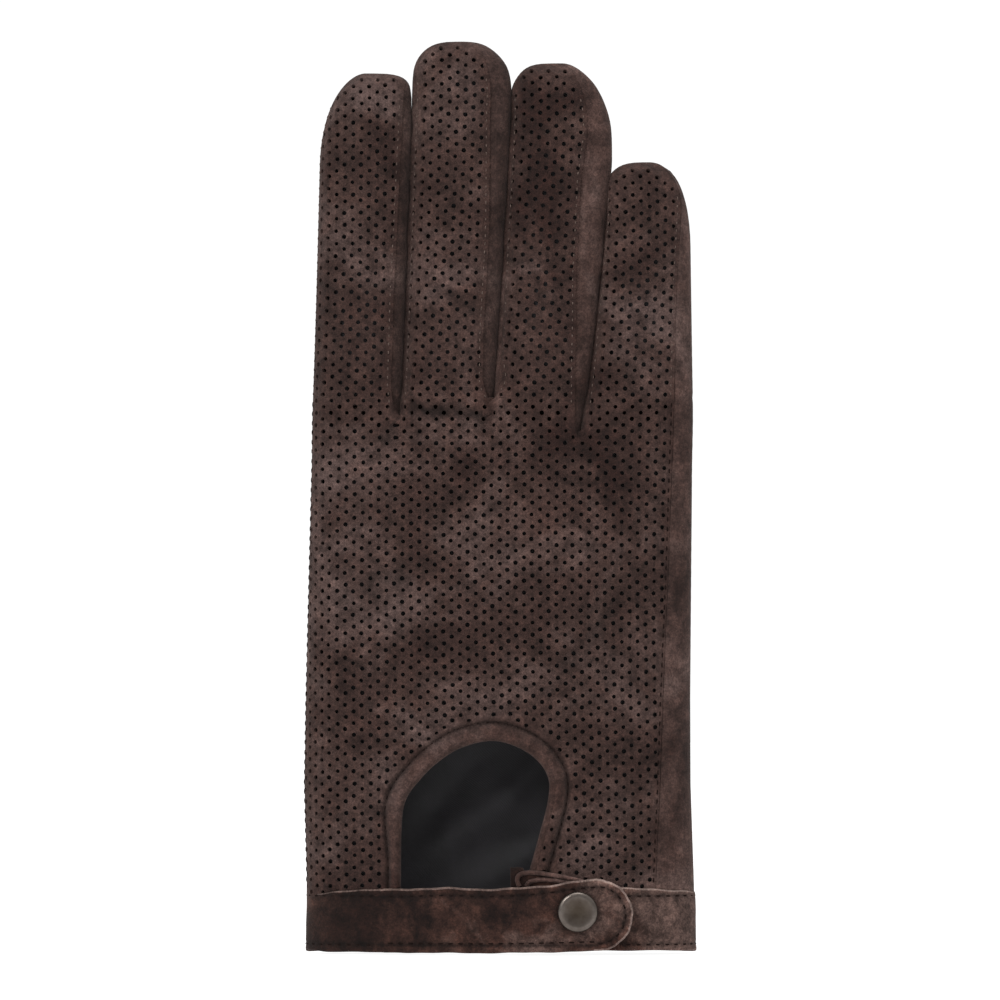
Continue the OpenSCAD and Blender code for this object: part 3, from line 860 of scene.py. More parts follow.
def palm_outline():
    z = np.arange(PANEL_FOOT, BEND_START - 0.5, 2.2)
    left, right = pairs(seam_left(z), z), pairs(palm_edge_x("little", z, True), z)[::-1]
    top = [cut_line("index", palm_edge_x)]
    for f, (x, z) in zip(FINGERS[1:], CROTCHES):
        top += [[(x, z + 1.0)], cut_line(f, palm_edge_x)]
    foot = pairs(np.linspace(right[-1, 0], left[0, 0], 60)[1:-1], PANEL_FOOT)
    return np.concatenate([left] + top + [right, foot])


def fill_points(outline, step):
    lo, hi = outline.min(0), outline.max(0)
    points = []
    for i, z in enumerate(np.arange(lo[1], hi[1], step * 0.87)):
        points.append(pairs(np.arange(lo[0], hi[0], step) + (step / 2 if i % 2 else 0), z))
    p = np.concatenate(points)
    p = p[inside(p, outline)]
    return p[edge_distance(p, outline) > step * 0.45]


def make_fronts():
    """The plain leather of the palm and of each finger's palm side."""
    outline = palm_outline()
    verts, tris = sheet_mesh(outline, None, 1, 0.0, None, fill_points(outline, 1.8))
    palm = sheet("palm_panel_suede", verts, tris, SUEDE_T, PLAIN)
    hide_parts("palm_panel", "side_stitching")
    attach(palm, "hand")
    for f in FINGERS:
        outline = finger_outline(f, palm_edge_x)
        verts, tris = sheet_mesh(outline, f, 1, 0.0, None, fill_points(outline, 1.6))
        front = sheet(f + "_front_suede", verts, tris, SUEDE_T, PLAIN)
        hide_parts(f + "_front")
        bend(front, f)


# ------------------------------------------------------------------ fourchettes
STRIP_COLS = 22
STRIP_T = 0.7
# How far each strip reaches below the foot of its slit
STRIP_FOOT = 2.2
# Colour factor of each finger's side strips: painted shade on the index and middle strips, which lie in the
# shade between those fingers; the ring's strips are a little lighter
STRIP_SHADING = {"index": 0.70, "middle": 0.72, "ring": 1.08, "little": 1.0}


def strip_points(f, right, z):
    """Side wall of a finger from under the back panel's edge to under the palm panel's edge."""
    cx, a, b = finger_dims(f, z)
    sign = 1 if right else -1
    q_back = np.clip(sign * edge_share(f, z, right), 0.2, 0.985)
    start = np.arccos(q_back ** (FINGER_N / 2)) + 0.10
    end = -(np.arccos(PALM_EDGE ** (FINGER_N / 2)) + 0.10)
    u = np.linspace(0, 1, STRIP_COLS)
    angle = start[:, None] + (end - start)[:, None] * u
    grow = 0.62 * np.sin(np.pi * u) * (1 - smooth(z, TIP_Z[f] - 7, TIP_Z[f] - 1))[:, None]
    x = cx[:, None] + sign * ((a - 0.05)[:, None] + grow) * np.abs(np.cos(angle)) ** (2 / FINGER_N)
    y = -(b - 0.35)[:, None] * power(np.sin(angle), 2 / FINGER_N)
    p = np.stack([x, y, np.broadcast_to(z[:, None], x.shape)], -1)
    # The ends follow the panels where the finger runs into the hand
    near = np.exp(-(u / 0.22) ** 2)[None, :, None]
    far = np.exp(-((1 - u) / 0.22) ** 2)[None, :, None]
    back = place(edge_x(f, z, right), z, -1, f, -0.45)
    palm = place(palm_edge_x(f, z, right), z, 1, f, -0.45)
    low = (1 - smooth(z, TIP_Z[f] - 12, TIP_Z[f] - 6))[:, None, None] * 0.9
    p = p + low * (near * (back - p[:, 0])[:, None, :] + far * (palm - p[:, -1])[:, None, :])
    p[..., 0] += 0.16 * unevenness(z[:, None] * 1.7, u[None, :] * 30, 4.0) * 3
    return p


def make_fourchettes():
    """The plain strips between the fingers."""
    for k, (left, right) in enumerate(zip(FINGERS, FINGERS[1:])):
        for f, on_right, suffix in ((left, True, "_right"), (right, False, "_left")):
            name = f + "_fourchette" + (suffix if f in ("middle", "ring") else "")
            z = tip_heights(f, CROTCHES[k][1] - STRIP_FOOT, 1.4)
            verts = strip_points(f, on_right, z).reshape(-1, 3)
            cx = finger_dims(f, z)[0].mean()
            tris = facing(verts, grid_tris(len(z), STRIP_COLS),
                          lambda c: np.stack([np.full(len(c), cx), 0 * c[:, 1], c[:, 2]], -1))
            # Each strip carries its finger's colour factor from that table
            side = sheet(name + "_suede", verts, tris, STRIP_T, PLAIN, np.full(2 * len(verts), STRIP_SHADING[f]))
            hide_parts(name, "fourchette_roots")
            bend(side, f)


# ------------------------------------------------------------------ lining
CLOTH_T = 0.3
TUBE_COLS = 36
# Folds of the lining on the palm side, seen through the keyhole
LINING_FOLDS = [
    ((-22, 24), (2, 40), 6.0, 1.5), ((2, 40), (12, 50), 4.0, 1.0), ((-20, 34), (-6, 50), 4.5, -0.9),
    ((-24, 12), (0, 20), 5.0, 1.1), ((-8, 26), (10, 30), 4.0, -0.8), ((-10, 10), (8, 24), 4.0, 0.9),
    ((-30, 44), (-14, 60), 5.0, 1.0), ((20, 30), (40, 80), 6.0, 1.0),
]


def make_linings():
    """Cloth inside the hand and the fingers."""
    outline = hand_outline(0.3)
    outline = outline[outline[:, 1] <= WEB_Z + 7]
    verts, tris = sheet_mesh(outline, None, -1, -SUEDE_T - 0.9, None, fill_points(outline, 3.0))
    back = sheet("back_lining_cloth", verts, tris, CLOTH_T, LINING)
    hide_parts("back_lining")
    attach(back, "hand")
    z = np.arange(2.0, WEB_Z + 4, 1.4)
    cx, a, b = (dim[:, None] for dim in hand_dims(z))
    angle = np.linspace(np.pi + 0.05, 2 * np.pi + 0.55, 130)
    c, s = power(np.cos(angle), 2 / HAND_N), power(np.sin(angle), 2 / HAND_N)
    across = cx + a * c
    folds = 1.1 * unevenness(across * 0.8, z[:, None] * 1.1, 1.0) + creases(across, z[:, None], LINING_FOLDS)
    depth = SUEDE_T + 0.5 + np.abs(np.sin(angle)) * (folds + 1.0).clip(0)
    x, y = cx + (a - depth) * c, -(b - depth) * s
    verts = np.stack([x, y, np.broadcast_to(z[:, None], x.shape)], -1).reshape(-1, 3)
    tris = facing(verts, grid_tris(len(z), len(angle)), lambda p: p * np.array([0, 0, 1.0]))
    palm = sheet("palm_lining_cloth", verts, tris, CLOTH_T, LINING)
    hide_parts("palm_lining")
    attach(palm, "hand")
    for f in FINGERS:
        z = tip_heights(f, WEB_Z + 10, 2.4)[:-1]
        dims = finger_dims(f, z)
        verts = tube(*dims, z - 0.2 - 1.7 * tip_turn(z, TIP_Z[f]), -SUEDE_T - 0.6, FINGER_N, TUBE_COLS)
        tris = facing(verts, grid_tris(len(z), TUBE_COLS, True), middle_of(verts, len(z)))
        finger = sheet(f + "_lining_cloth", verts, tris, CLOTH_T, LINING)
        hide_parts(f + "_lining")
        bend(finger, f)


def tube(cx, a, b, z, lift, n, cols):
    """Rings of points round a finger, at the heights and dimensions given."""
    angle = np.linspace(0, 2 * np.pi, cols, endpoint=False)
    x = cx[:, None] + np.maximum(a[:, None] + lift, 0.4) * power(np.cos(angle), 2 / n)
    y = -np.maximum(b[:, None] + lift, 0.3) * power(np.sin(angle), 2 / n)
    return np.stack([x, y, np.broadcast_to(z[:, None], x.shape)], -1).reshape(-1, 3)


def middle_of(verts, rows):
    centres = np.asarray(verts).reshape(rows, -1, 3).mean(1)

    def middle(points):
        return np.stack([np.interp(points[:, 2], centres[:, 2], centres[:, k]) for k in (0, 1)]
                        + [points[:, 2]], -1)
    return middle


# ------------------------------------------------------------------ round the hand, by angle
def on_hand(angle, z, lift):
    """Point of the hand's section: angle 0 is the little-finger side, 90 the back, 180 the index side."""
    cx, a, b = hand_dims(z)
    x = cx + (a + lift) * power(np.cos(angle), 2 / HAND_N)
    y = -(b + lift) * power(np.sin(angle), 2 / HAND_N)
    return np.stack(np.broadcast_arrays(x, y, z), -1)


# Height and lift of the line along which lengths round the cuff are walked
CUFF_MID = 8.0
CUFF_LIFT = 0.7


def angle_at(x):
    """Angle round the cuff of a place on the back, across the picture."""
    cx, a, _ = hand_dims(CUFF_MID)
    return np.arccos(power((x - cx) / a, HAND_N / 2))


def on_front(x, z, lift):
    """Point of the back of the hand straight behind a place in the picture, at a lift."""
    cx, a, b = hand_dims(z)
    q = np.minimum(np.abs(x - cx) / (a + lift), 1)
    y = -(b + lift) * (1 - q ** HAND_N) ** (1 / HAND_N)
    return np.stack(np.broadcast_arrays(x, y, z), -1)


def arc_table(first, last):
    """Angles against the length walked round the cuff between two angles."""
    angle = np.linspace(first, last, 3000)
    return walked(on_hand(angle, CUFF_MID, CUFF_LIFT)), angle


def inset(outline, distance):
    """A counter-clockwise outline moved inwards."""
    ahead = unit(np.roll(outline, -1, axis=0) - outline)
    tangent = unit(ahead + np.roll(ahead, 1, axis=0))
    return outline + distance * pairs(-tangent[:, 1], tangent[:, 0])


def level(height):
    return lambda u, z: np.full(u.shape, height)


def pad(name, outline, lay, outer, inner, step, material, raw=None, edge=0.45, butt=None, shade=None):
    """A leather strap with rounded edges, raw-edged where raw() is true and square-ended where butt() is."""
    n = len(outline)
    points = [tuple(p) for ring in (outline, inset(outline, edge * 0.4), inset(outline, edge)) for p in ring]
    edges = [(r * n + i, r * n + (i + 1) % n) for r in range(3) for i in range(n)]
    points += [tuple(p) for p in fill_points(inset(outline, edge + step * 0.35), step)]
    depth = np.array([0.0] * n + [0.4] * n + [1.0] * (len(points) - 2 * n))
    flat, tris, origins = triangulate(points, edges, outline)
    depth = np.array([depth[o[0]] if o else 1.0 for o in origins])
    tris = wound(flat, tris, -1)
    u, z = flat.T
    if butt is not None:
        depth = np.where(butt(u, z), 1.0, depth)
    top, low = outer(u, z), inner(u, z)
    drop = (top - low) * 0.5 * (1 - np.sqrt(1 - (1 - depth) ** 2)) * 0.85
    verts = np.concatenate([lay(u, z, top - drop), lay(u, z, low + drop)])
    order = [int(np.argmin(np.hypot(*(flat - p).T))) for p in outline]
    count = len(flat)
    walls = [(order[(i + 1) % n], order[i], order[i] + count, order[(i + 1) % n] + count) for i in range(n)]
    middles = flat[tris].mean(1)
    pale = (depth[tris] < 1).any(1) | (edge_distance(middles, outline) < edge)
    pale &= raw(*middles.T) if raw else False
    if butt is not None:
        pale &= ~butt(*middles.T)
    faces = tris[~pale].tolist() + (tris[:, ::-1] + count).tolist()
    first = len(faces)
    faces += tris[pale].tolist() + walls
    last = len(faces) if raw else first
    # Painted light and shade from shade(), the same on both skins
    painted_shading = np.tile(shade(u, z), 2) if shade else None
    return piece(name, verts, outside(verts, faces), material, RAW_EDGE, (first, last), 60.0, painted_shading)


def outside(verts, faces):
    """The faces of a closed solid, all turned over if they face inwards."""
    volume = 0.0
    for f in faces:
        for k in range(1, len(f) - 1):
            volume += np.dot(verts[f[0]], np.cross(verts[f[k]], verts[f[k + 1]]))
    return [tuple(f) for f in faces] if volume > 0 else [tuple(f)[::-1] for f in faces]


def cord_mesh(path, normal, width, height, sides=8):
    """Closed rounded cord along a path, wider across the leather than it stands proud of it."""
    across = unit(np.cross(unit(np.gradient(path, axis=0)), normal))
    turn = np.arange(sides) * 2 * np.pi / sides
    width, height = (np.broadcast_to(size, len(path))[:, None] for size in (width, height))
    loops = (path[:, None, :] + np.cos(turn)[None, :, None] * (across * width)[:, None, :]
             + np.sin(turn)[None, :, None] * (normal * height)[:, None, :])
    return loops.reshape(-1, 3), tube_faces(len(path), sides)


def merge(meshes):
    verts, faces, at = [], [], 0
    for v, f in meshes:
        f = outside(v, f)
        verts.append(v)
        faces += [tuple(i + at for i in face) for face in f]
        at += len(v)
    return np.concatenate(verts), faces


def stitch_run(points, normals, length=1.5, gap=0.9, radius=0.2, seed=1):
    """Separate sewn stitches along a line: each rises out of the leather and goes back in."""
    local = np.random.default_rng(seed)
    way = walked(points)
    meshes = []
    start = gap * 0.5
    while start + length < way[-1]:
        s = start + np.linspace(0, length, 5) + local.normal(0, 0.05)
        p, n = (np.stack([np.interp(s, way, line[:, k]) for k in range(3)], -1) for line in (points, normals))
        n = unit(n)
        rise = np.array([-0.22, 0.02, 0.07, 0.02, -0.22]) * radius / 0.2
        size = np.array([0.6, 1, 1.05, 1, 0.6]) * radius
        meshes.append(cord_mesh(p + n * rise[:, None], n, size, size * 0.8, 6))
        start += length + gap + local.normal(0, 0.06)
    return meshes


def sewn(name, runs, material):
    return piece(name, *merge(runs), material)


def surface_run(d, z, side, finger=None, lift=0.0):
    return run_on(lambda d, z, lift: place(d, z, side, finger, lift), d, z, lift)


# ------------------------------------------------------------------ keyhole edge
def make_binding():
    """The turned edge of the keyhole and its stitches."""
    turn = np.arange(12) * 2 * np.pi / 12
    loops = []
    for distance, height in zip(0.85 + 0.95 * np.cos(turn), -0.62 + 0.98 * np.sin(turn)):
        x, z = outward(KEY_CURVE, distance).T
        loops.append(place(x, z, -1, None, height - 1.6 * (1 - smooth(z, COVER_FROM, COVERED))))
    verts = np.stack(loops, 1).reshape(-1, 3)
    faces = outside(verts, tube_faces(len(KEY_CURVE), len(turn)))
    roll = piece("opening_turned_edge", verts, faces, PERFORATED)
    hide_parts("opening_binding")
    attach(roll, "hand")
    near = KEY_CURVE[KEY_CURVE[:, 1] > COVERED]
    x, z = outward(near, groove_at(near[:, 0], near[:, 1])).T
    sewing = sewn("opening_stitches", stitch_run(*surface_run(x, z, -1), 1.4, 1.2, 0.16, 3), DARK_THREAD)
    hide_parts("opening_stitching")
    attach(sewing, "hand")


# ------------------------------------------------------------------ cuff band, strap and underlap
BAND_OUT = 0.9
BAND_IN = -1.4
STRAP_FROM = -33.0
BAND_END = -27.5
TAB_R = 9.25
TAB_X = 33.9 - TAB_R
TAB_Z = 9.85
# Radius of the sewn line round the strap's tab, places of the sewn rows, and the stud's place
TAB_SEAM = TAB_R - 1.9
LOW_ROW, HIGH_ROW = 2.1, 14.6
STUD_X, STUD_Z = 19.7, 10.9


def strap_top(x):
    return np.interp(x, [-33, -30, -14, -4, 4, 12, 18, TAB_X],
                     [16.1, 16.55, 16.9, 16.7, 16.9, 17.6, 18.6, TAB_Z + TAB_R])


def strap_foot(x):
    return np.interp(x, [-33, -30, -5, 8, TAB_X], [0.4, 0.1, 0.1, 0.25, TAB_Z - TAB_R])


def band_top(x, back):
    front = np.interp(x, [-50, -44, -31, -28.5, 7, 34, 40, 50],
                      [14.9, 15.9, 16.5, 15.4, 16.6, 16.7, 16.6, 15.6])
    return np.where(back, front, 15.6 + 0.2 * np.sin(x / 9))


def strap_lift(x):
    start = 0.02 - 0.17 * (1 - smooth(x, -33, -29.5))
    ripple = 0.22 * np.sin(x / 4.3) * smooth(x, -26, -18)
    return BAND_OUT + start + (4.13 - BAND_OUT) * smooth(x, -29, 2) - 0.35 * smooth(x, 24, 34) + ripple


def make_cuff():
    """The band round the wrist, from under the strap's tab round the palm to the strap's left end."""
    way, angles = arc_table(angle_at(7.0), -(2 * np.pi - angle_at(BAND_END)))
    end = way[-1]
    u = np.linspace(0, end, int(end / 1.1))
    a = np.interp(u, way, angles)
    x = on_hand(a, CUFF_MID, CUFF_LIFT)[:, 0]
    free = 1 - smooth(u, end - 10, end - 5)
    top = band_top(x, (np.sin(a) > 0))
    top += (0.14 * np.sin(u / 3.1) + 0.08 * np.sin(u / 1.3 + 1)) * free
    foot = np.interp(x, [-50, -46, -31, -28.5, 50], [0.5, 0.2, 0.15, 0.9, 0.5]) * (np.sin(a) > 0)
    foot += 0.08 * np.sin(u / 2.3) * free
    sides = [pairs(u[k], np.linspace(foot[k], top[k], 16)[1:-1]) for k in (-1, 0)]
    outline = np.concatenate([pairs(u, foot), sides[0], pairs(u, top)[::-1], sides[1][::-1]])

    def lay(u, z, lift):
        free = 1 - smooth(u, end - 11, end - 5.5)
        return on_hand(np.interp(u, way, angles), z, lift + unevenness(u * 0.8, z, 5.0) * 0.9 * free)

    def outer(u, z):
        rows = hump(z, LOW_ROW, 0.45) + hump(z, HIGH_ROW, 0.45)
        side = smooth(np.abs(on_hand(np.interp(u, way, angles), z, 0.0)[:, 0]), 42, 50)
        return BAND_OUT - 0.7 * side - 0.16 * rows - 1.2 * smooth(u, end - 3.4, end - 0.6)

    # Painted light and shade on the band: painted highlights along its top and bottom edges, painted shade in
    # the two sewn rows
    def shade(_, z):
        lit = 0.28 * smooth(z, 14.9, 15.3) + 0.22 * (1 - smooth(z, 1.3, 1.8))
        return 1 + lit - 0.6 * (hump(z, LOW_ROW, 0.55) + hump(z, HIGH_ROW, 0.55))

    band = pad("cuff_band_suede", outline, lay, outer, level(BAND_IN), 0.95, DARK_PLAIN,
               raw=lambda u, z: z > 10, butt=lambda u, z: u > end - 0.3, shade=shade)
    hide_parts("cuff_band")
    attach(band, "hand")
    runs = []
    for k, height in enumerate((LOW_ROW, HIGH_ROW)):
        s = np.linspace(1, end - 3.4, 600)
        z = np.full(600, height)
        runs += stitch_run(*run_on(lay, s, z, outer(s, z) + 0.02, 0.6), 1.6, 1.0, 0.19, 11 + k)
    sewing = sewn("cuff_stitches", runs, DARK_THREAD)
    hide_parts("cuff_stitching")
    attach(sewing, "hand")


def strap_outline():
    x = np.arange(STRAP_FROM, TAB_X, 0.8)
    wave = (0.13 * np.sin(x / 2.9) + 0.07 * np.sin(x / 1.2)) * smooth(x, -29, -24)
    foot = pairs(x, strap_foot(x) + wave * 0.6)
    top = pairs(x, strap_top(x) + wave)[::-1]
    turn = np.linspace(-np.pi / 2, np.pi / 2, 38)[1:-1]
    ragged = TAB_R + 0.10 * np.sin(turn * 9) + 0.06 * np.sin(turn * 23)
    end = pairs(TAB_X + ragged * np.cos(turn), TAB_Z + ragged * np.sin(turn))
    return np.concatenate([foot, end, top, pairs(x[0], np.linspace(top[-1, 1], foot[0, 1], 16)[1:-1])])


def strap_lay(x, z, lift):
    return on_front(x, z, lift + unevenness(x * 0.8, z, 9.0) * 0.8 * smooth(x, -29, -24))


def make_strap():
    """The strap with its rounded tab, and its sewn line."""
    def outer(x, z):
        rows = hump(z, LOW_ROW, 0.45) + np.exp(-((z - strap_top(x) + 2.0) / 0.45) ** 2)
        ring = hump(np.abs(np.hypot(x - TAB_X, z - TAB_Z) - TAB_SEAM), 0, 0.5) * 1.5
        rows = np.where(x > TAB_X, ring, rows) * smooth(x, -31, -29)
        pressed = np.exp(-((np.hypot(x - STUD_X, z - STUD_Z) / 6.4) ** 4))
        return strap_lift(x) - 0.18 * rows - 0.3 * pressed

    def inner(x, _):
        return strap_lift(x) - 1.4 - 0.5 * (1 - smooth(x, -29, -20))

    # Painted light and shade on the strap: painted highlights along its edges and round the tab's rim,
    # painted shade in the sewn lines, and a painted shadow round the stud's cap
    def shade(x, z):
        top, away = strap_top(x), np.hypot(x - TAB_X, z - TAB_Z) - TAB_SEAM
        lit = 0.28 * smooth(z, top - 1.7, top - 1.3) + 0.22 * (1 - smooth(z, 1.3, 1.8))
        seam_shade = hump(z, LOW_ROW, 0.5) + np.exp(-((z - top + 2.0) / 0.5) ** 2)
        lit = np.where(x > TAB_X, 0.6 * smooth(away, 0.2, 0.7), lit)
        seam_shade = np.where(x > TAB_X, 1.2 * hump(away, 0, 0.5), seam_shade)
        stud_shadow = hump(np.hypot(x - STUD_X, z - STUD_Z), 5.3, 1.0)
        return np.clip(1 + lit - 0.6 * seam_shade - 0.35 * stud_shadow, 0.25, 1.7)

    strap = pad("strap_suede", strap_outline(), strap_lay, outer, inner, 0.75, DARK_PLAIN,
                raw=lambda x, z: (z > 12) | (x > 24), edge=0.5, butt=lambda x, z: x < STRAP_FROM + 0.3,
                shade=shade)
    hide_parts("strap")
    bend_strap(strap)
    x = np.arange(-29.6, TAB_X, 0.4)
    turn = np.linspace(np.pi / 2, -np.pi / 2, 70)[1:-1]
    ring = pairs(TAB_X + TAB_SEAM * np.cos(turn), TAB_Z + TAB_SEAM * np.sin(turn))
    low = pairs(x, np.maximum(strap_foot(x), -0.5) + 2.45)[::-1]
    u, z = np.concatenate([pairs(x, strap_top(x) - 2.0), ring, low]).T
    runs = stitch_run(*run_on(strap_lay, u, z, outer(u, z) + 0.03), 1.6, 1.0, 0.19, 21)
    sewing = sewn("strap_stitches", runs, DARK_THREAD)
    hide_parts("strap_stitching")
    bend_strap(sewing)


def bend_strap(obj):
    """The strap's transform is baked into its mesh."""
    y = on_hand(angle_at(-26.0), CUFF_MID, 1.0)[1] * MM
    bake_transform(obj)


UNDERLAP_FOLDS = (
    [(4.7, 17.2), (4.2, 18.6), (4.4, 19.8), (5.8, 20.6), (9.2, 20.7), (13.9, 20.0), (18.6, 19.1),
     (22.5, 18.0)],
    [(6.6, 17.2), (7.4, 18.4), (10.4, 18.9), (14.5, 18.6), (18, 17.8), (20, 17.0)],
)


def make_underlap():
    """The flap that carries the stud, with the leather's folds above it."""
    x = np.arange(2.4, 31, 0.8)
    top = np.interp(x, [2.4, 5.6, 6.8, 12, 23, 31], [22.2, 22.0, 20.4, 19.6, 17.6, 16.8])
    top += 0.1 * np.sin(x * 1.7)
    foot = np.full(len(x), 0.7)
    left = pairs(x[0], np.linspace(top[0], foot[0], 24)[1:-1])
    right = pairs(x[-1], np.linspace(foot[-1], top[-1], 20)[1:-1])
    outline = np.concatenate([pairs(x, foot), right, pairs(x, top)[::-1], left])

    def lay(x, z, lift):
        return on_front(x, z, lift + unevenness(x, z, 3.0) * 0.5)

    flap = pad("underlap_suede", outline, lay, level(1.9), level(0.95), 1.5, DARK_PLAIN)
    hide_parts("underlap")
    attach(flap, "hand")
    folds = []
    for points in UNDERLAP_FOLDS:
        u, z = resample(through(points), 0.5).T
        p, n = run_on(lay, u, z, 2.05, 0.95)
        folds.append(cord_mesh(p, n, np.linspace(0.62, 0.5, len(p)), np.linspace(0.75, 0.5, len(p)), 10))
    verts, faces = merge(folds)
    # The folds are coloured lighter than their suede: a painted highlight on their crests
    fold = piece("underlap_folds", verts, faces, PLAIN, shade=np.full(len(verts), 1.35))
    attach(fold, "hand")


# ------------------------------------------------------------------ press stud
# The cap's section as radius and height above the strap
CAP_PROFILE = [
    (0.0, 1.16), (1.2, 1.18), (2.2, 1.27), (3.0, 1.42), (3.6, 1.53), (4.05, 1.57), (4.45, 1.50), (4.8, 1.32),
    (5.05, 1.04), (5.2, 0.68), (5.22, 0.4), (5.05, 0.15), (4.5, 0.02), (1.5, 0.0), (1.48, -1.4), (0.0, -1.4),
]
CAP_SIDES = 72
# The photographed cap sits this much higher than the CAD's
CAP_RISE = 0.75


def make_snap():
    """The cap is turned about an axis square to the strap; the hidden parts keep their CAD shapes."""
    lo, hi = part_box("snap_cap")
    x, z = (lo.x + hi.x) / 2 / MM, (lo.z + hi.z) / 2 / MM + CAP_RISE
    left, centre, right = on_front(np.array([x - 1, x, x + 1]), z, 4.1)
    across = right - left
    across /= np.linalg.norm(across)
    normal = np.array([across[1], -across[0], 0.0])
    up = np.array([0, 0, 1.0])
    verts, faces, starts = [], [], []
    for r, h in CAP_PROFILE:
        starts.append(len(verts))
        for t in np.arange(CAP_SIDES if r else 1) * 2 * np.pi / CAP_SIDES:
            verts.append(centre + normal * h + across * r * math.cos(t) + up * r * math.sin(t))
    for (a, b), (near, far) in zip(zip(starts, starts[1:]), zip(CAP_PROFILE, CAP_PROFILE[1:])):
        for j in range(CAP_SIDES):
            n = (j + 1) % CAP_SIDES
            if near[0] == 0:
                faces.append((a, b + j, b + n))
            elif far[0] == 0:
                faces.append((a + j, b, a + n))
            else:
                faces.append((a + j, b + j, b + n, a + n))
    verts = np.array(verts)
    cap = piece("press_stud_cap", verts, outside(verts, faces), METAL, sharp=65.0)
    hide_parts("snap_cap")
    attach(cap, "strap")
    for name in ("snap_socket", "snap_stud", "snap_post"):
        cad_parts[name].data.materials.clear()
        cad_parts[name].data.materials.append(METAL)


# ------------------------------------------------------------------ thumb
THUMB_LEAN = math.radians(22)
THUMB_BASE = np.array([-27.0, 20.0, 52.0])
THUMB_SHAFT = 48
THUMB_TIP = 14
THUMB_COLS = 56
# The thumb's leather stays at least this far out from the hand's middle plane
THUMB_FLOOR = 11.2
# Directions out of the palm, along the thumb and across it
OUT = np.array([0, 1.0, 0])
ALONG = np.array([math.sin(THUMB_LEAN), 0, math.cos(THUMB_LEAN)])
ACROSS = np.array([math.cos(THUMB_LEAN), 0, -math.sin(THUMB_LEAN)])


def thumb_rings():
    """Sections of the thumb: a fan that turns out of the palm, then a shaft and a tip that lie along it."""
    rings = []
    fold = THUMB_BASE + ALONG * 14 + OUT * (-7.0)
    for phi in np.linspace(0, np.pi / 2, 9)[:-1]:
        s = phi / (np.pi / 2)
        half = 0.5 * (1 + 0.16 * math.sin(2 * phi)) / (math.cos(phi) / 30 + math.sin(phi) / 14.4)
        way = -ALONG * math.cos(phi) + OUT * math.sin(phi)
        rings.append((fold + way * half, lerp(12.5, 12.0, s), half, way, lerp(2.1, FINGER_N, s)))
    tip = THUMB_SHAFT + THUMB_TIP * np.sin(np.linspace(0.02, 0.985, 14) * np.pi / 2) ** 0.9
    for s in np.concatenate([np.arange(14, THUMB_SHAFT, 2.0), tip]):
        turn = min(0.9995, max(0.0, (s - THUMB_SHAFT) / THUMB_TIP) ** (1 / 0.9))
        close = math.sqrt(1 - turn ** 2)
        wide = lerp(12.0, 10.5, min(1, s / THUMB_SHAFT)) * close ** 0.72
        half = lerp(7.4, 6.0, min(1, s / THUMB_SHAFT)) * close ** 0.8
        rings.append((THUMB_BASE + ALONG * s, max(wide, 0.4), max(half, 0.3), OUT, FINGER_N))
    return rings


def thumb_skin(rings, lift, first, last):
    """Grid of points on the thumb's leather, lifted outwards from it."""
    angle = np.linspace(0, 2 * np.pi, THUMB_COLS, endpoint=False)
    grid = []
    for i in range(first, last):
        centre, wide, half, way, n = rings[i]
        c, s = power(np.cos(angle), 2 / n), power(np.sin(angle), 2 / n)
        ripple = unevenness(angle * 6, np.full(THUMB_COLS, i * 1.6), 7.0) * 1.6 * min(1, half / 6) + lift
        wide, half = np.maximum(wide + ripple, 0.3), np.maximum(half + ripple, 0.3)
        grid.append(centre + c[:, None] * ACROSS * wide[:, None] + s[:, None] * way * half[:, None])
    grid = np.array(grid)
    grid[..., 1] = np.maximum(grid[..., 1], THUMB_FLOOR - 0.6 * lift)
    return grid


def make_thumb():
    """Two halves of leather, their stitches and a lining."""
    rings = thumb_rings()
    grid = thumb_skin(rings, 0.0, 0, len(rings))
    half = THUMB_COLS // 2
    for name, low, node in (("thumb_outer_suede", 0, "thumb_front"),
                            ("thumb_inner_suede", half, "thumb_back")):
        cols = [j % THUMB_COLS for j in range(low, low + half + 1)]
        verts = grid[:, cols].reshape(-1, 3)
        tris = facing(verts, grid_tris(len(rings), len(cols)), middle_of(grid, len(rings)))
        part = sheet(name, verts, tris, SUEDE_T, PLAIN)
        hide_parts(node)
        thumb_bend(part)
    runs = []
    body = grid[4:-4]
    for column, step in ((0, 3), (half, -3)):
        p = lerp(body[:, column], body[:, (column + step) % THUMB_COLS], 0.35)
        runs += stitch_run(p, unit(p - body.mean(1)), 1.5, 1.0, 0.17, 31 + column)
    sewing = sewn("thumb_stitches", runs, THREAD)
    thumb_bend(sewing)
    inner = thumb_skin(rings, -1.5, 6, len(rings) - 2)
    verts = inner.reshape(-1, 3)
    tris = facing(verts, grid_tris(len(inner), THUMB_COLS, ring=True), middle_of(inner, len(inner)))
    lining = sheet("thumb_lining_knit", verts, tris, 0.4, LINING)
    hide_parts("thumb_lining")
    thumb_bend(lining)


def thumb_bend(obj):
    """The thumb's leather: its transform is baked into its mesh."""
    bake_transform(obj)


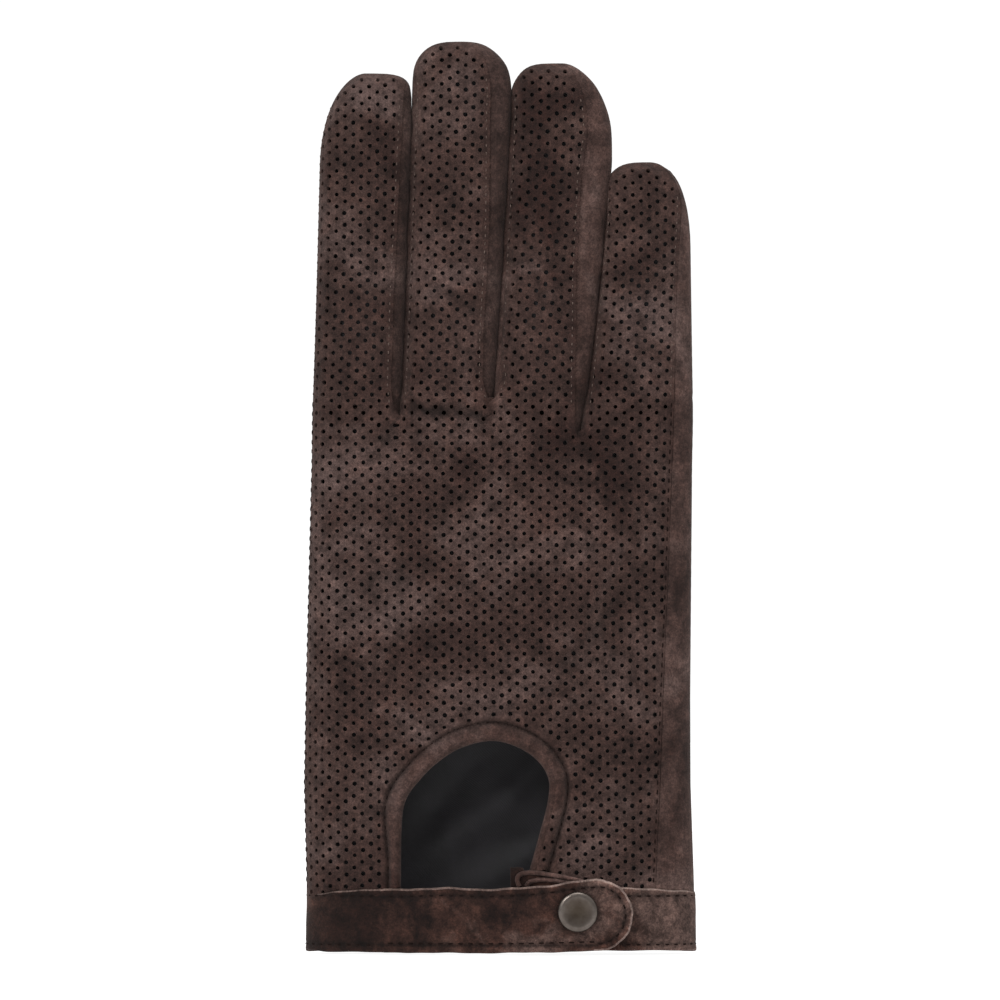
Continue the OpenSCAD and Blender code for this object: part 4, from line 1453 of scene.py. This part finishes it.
# ------------------------------------------------------------------ seams and stitches of the panels
def make_seams():
    """Stitches down the sides of the hand and along the fingers."""
    runs = []
    z = np.arange(COVERED, BEND_START, 0.7)
    for d in (seam_right(z) - 0.6, seam_left(z) + 1.0):
        runs += stitch_run(*surface_run(d, z, -1, None, 0.02), 1.5, 1.0, 0.17, 41)
    sewing = sewn("side_stitches", runs, DARK_THREAD)
    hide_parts("side_stitching")
    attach(sewing, "hand")
    for i, f in enumerate(FINGERS):
        runs = []
        low_left = CROTCHES[i - 1][1] + 1 if i else BEND_START
        low_right = CROTCHES[i][1] + 1 if i < 3 else BEND_START
        zl = np.arange(max(low_left, BEND_START - 2), TIP_Z[f] - 8, 0.6)
        zr = np.arange(max(low_right, BEND_START - 2), TIP_Z[f] - 8, 0.6)
        for z, d in ((zl, edge_x(f, zl, False) + 0.9), (zr, edge_x(f, zr, True) - 0.9)):
            runs += stitch_run(*surface_run(d, z, -1, f, -0.02), 0.9, 1.2, 0.13, 51 + i)
        sewing = sewn(f + "_stitches", runs, THREAD)
        bend(sewing, f)


# ------------------------------------------------------------------ floor, light and camera
# The camera stands far off, level with the glove's middle; the frame is this wide, in metres, at the glove
FRAME_WIDTH = 0.2575
LENS, SENSOR = 400, 36
FLOOR_HALF, FLOOR_Z = 2.5, -0.0006
# Name, place, size and power of each lamp, and the point that they face
LAMPS = [("key", (-0.55, -0.75, 0.75), 0.5, 7.0), ("top", (0.1, -0.15, 1.1), 0.6, 5.0)]
LAMPS_FACE = (0, 0, 0.115)


def make_stage():
    """Pale floor, soft light and the camera at the photograph's angle."""
    material, tree, shader = nodes_of("pale_floor")
    fill(tree, shader, {"Base Color": (0.25, 0.25, 0.25, 1), "Roughness": 1.0,
                        "Emission Color": (1, 1, 1, 1), "Emission Strength": 0.93})
    mesh = bpy.data.meshes.new("floor")
    corners = [(-1, -1), (1, -1), (1, 1), (-1, 1)]
    mesh.from_pydata([(x * FLOOR_HALF, y * FLOOR_HALF, FLOOR_Z) for x, y in corners], [], [(0, 1, 2, 3)])
    mesh.materials.append(material)
    floor = placed("floor", mesh)
    world = bpy.data.worlds.new("studio")
    bpy.context.scene.world = world
    world.use_nodes = True
    tree = world.node_tree
    at = add(tree, "ShaderNodeTexCoord")
    split = add(tree, "ShaderNodeSeparateXYZ", {0: at.outputs["Generated"]})
    sky = add(tree, "ShaderNodeMapRange", {"Value": split.outputs["Z"], "From Min": -0.7, "From Max": 0.9,
                                           "To Min": 0.36, "To Max": 0.92})
    wall = add(tree, "ShaderNodeMapRange", {"Value": split.outputs["Y"], "From Min": 0.86, "From Max": 0.95})
    mixed = add(tree, "ShaderNodeMix", {"Factor": wall.outputs["Result"], "A": sky.outputs["Result"],
                                        "B": 1.05})
    fill(tree, tree.nodes["Background"], {"Color": (1, 1, 1, 1), "Strength": mixed.outputs["Result"]})
    for name, place_at, size, energy in LAMPS:
        light = bpy.data.lights.new(name, "AREA")
        light.size = size
        light.energy = energy
        lamp = placed(name, light)
        lamp.location = place_at
        lamp.rotation_euler = (Vector(LAMPS_FACE) - Vector(place_at)).to_track_quat("-Z", "Y").to_euler()
    camera = bpy.data.cameras.new("camera")
    camera.lens = LENS
    camera.sensor_width = SENSOR
    camera.clip_end = 20
    eye = placed("camera", camera)
    eye.location = (-0.00026, -(FRAME_WIDTH * LENS / SENSOR + 0.004), 0.1164)
    eye.rotation_euler = (math.pi / 2, 0, 0)
    bpy.context.scene.camera = eye
    bpy.context.scene.view_settings.view_transform = "Standard"


make_backs()
make_fronts()
make_fourchettes()
make_linings()
make_binding()
make_cuff()
make_strap()
make_underlap()
make_snap()
make_thumb()
make_seams()
make_stage()
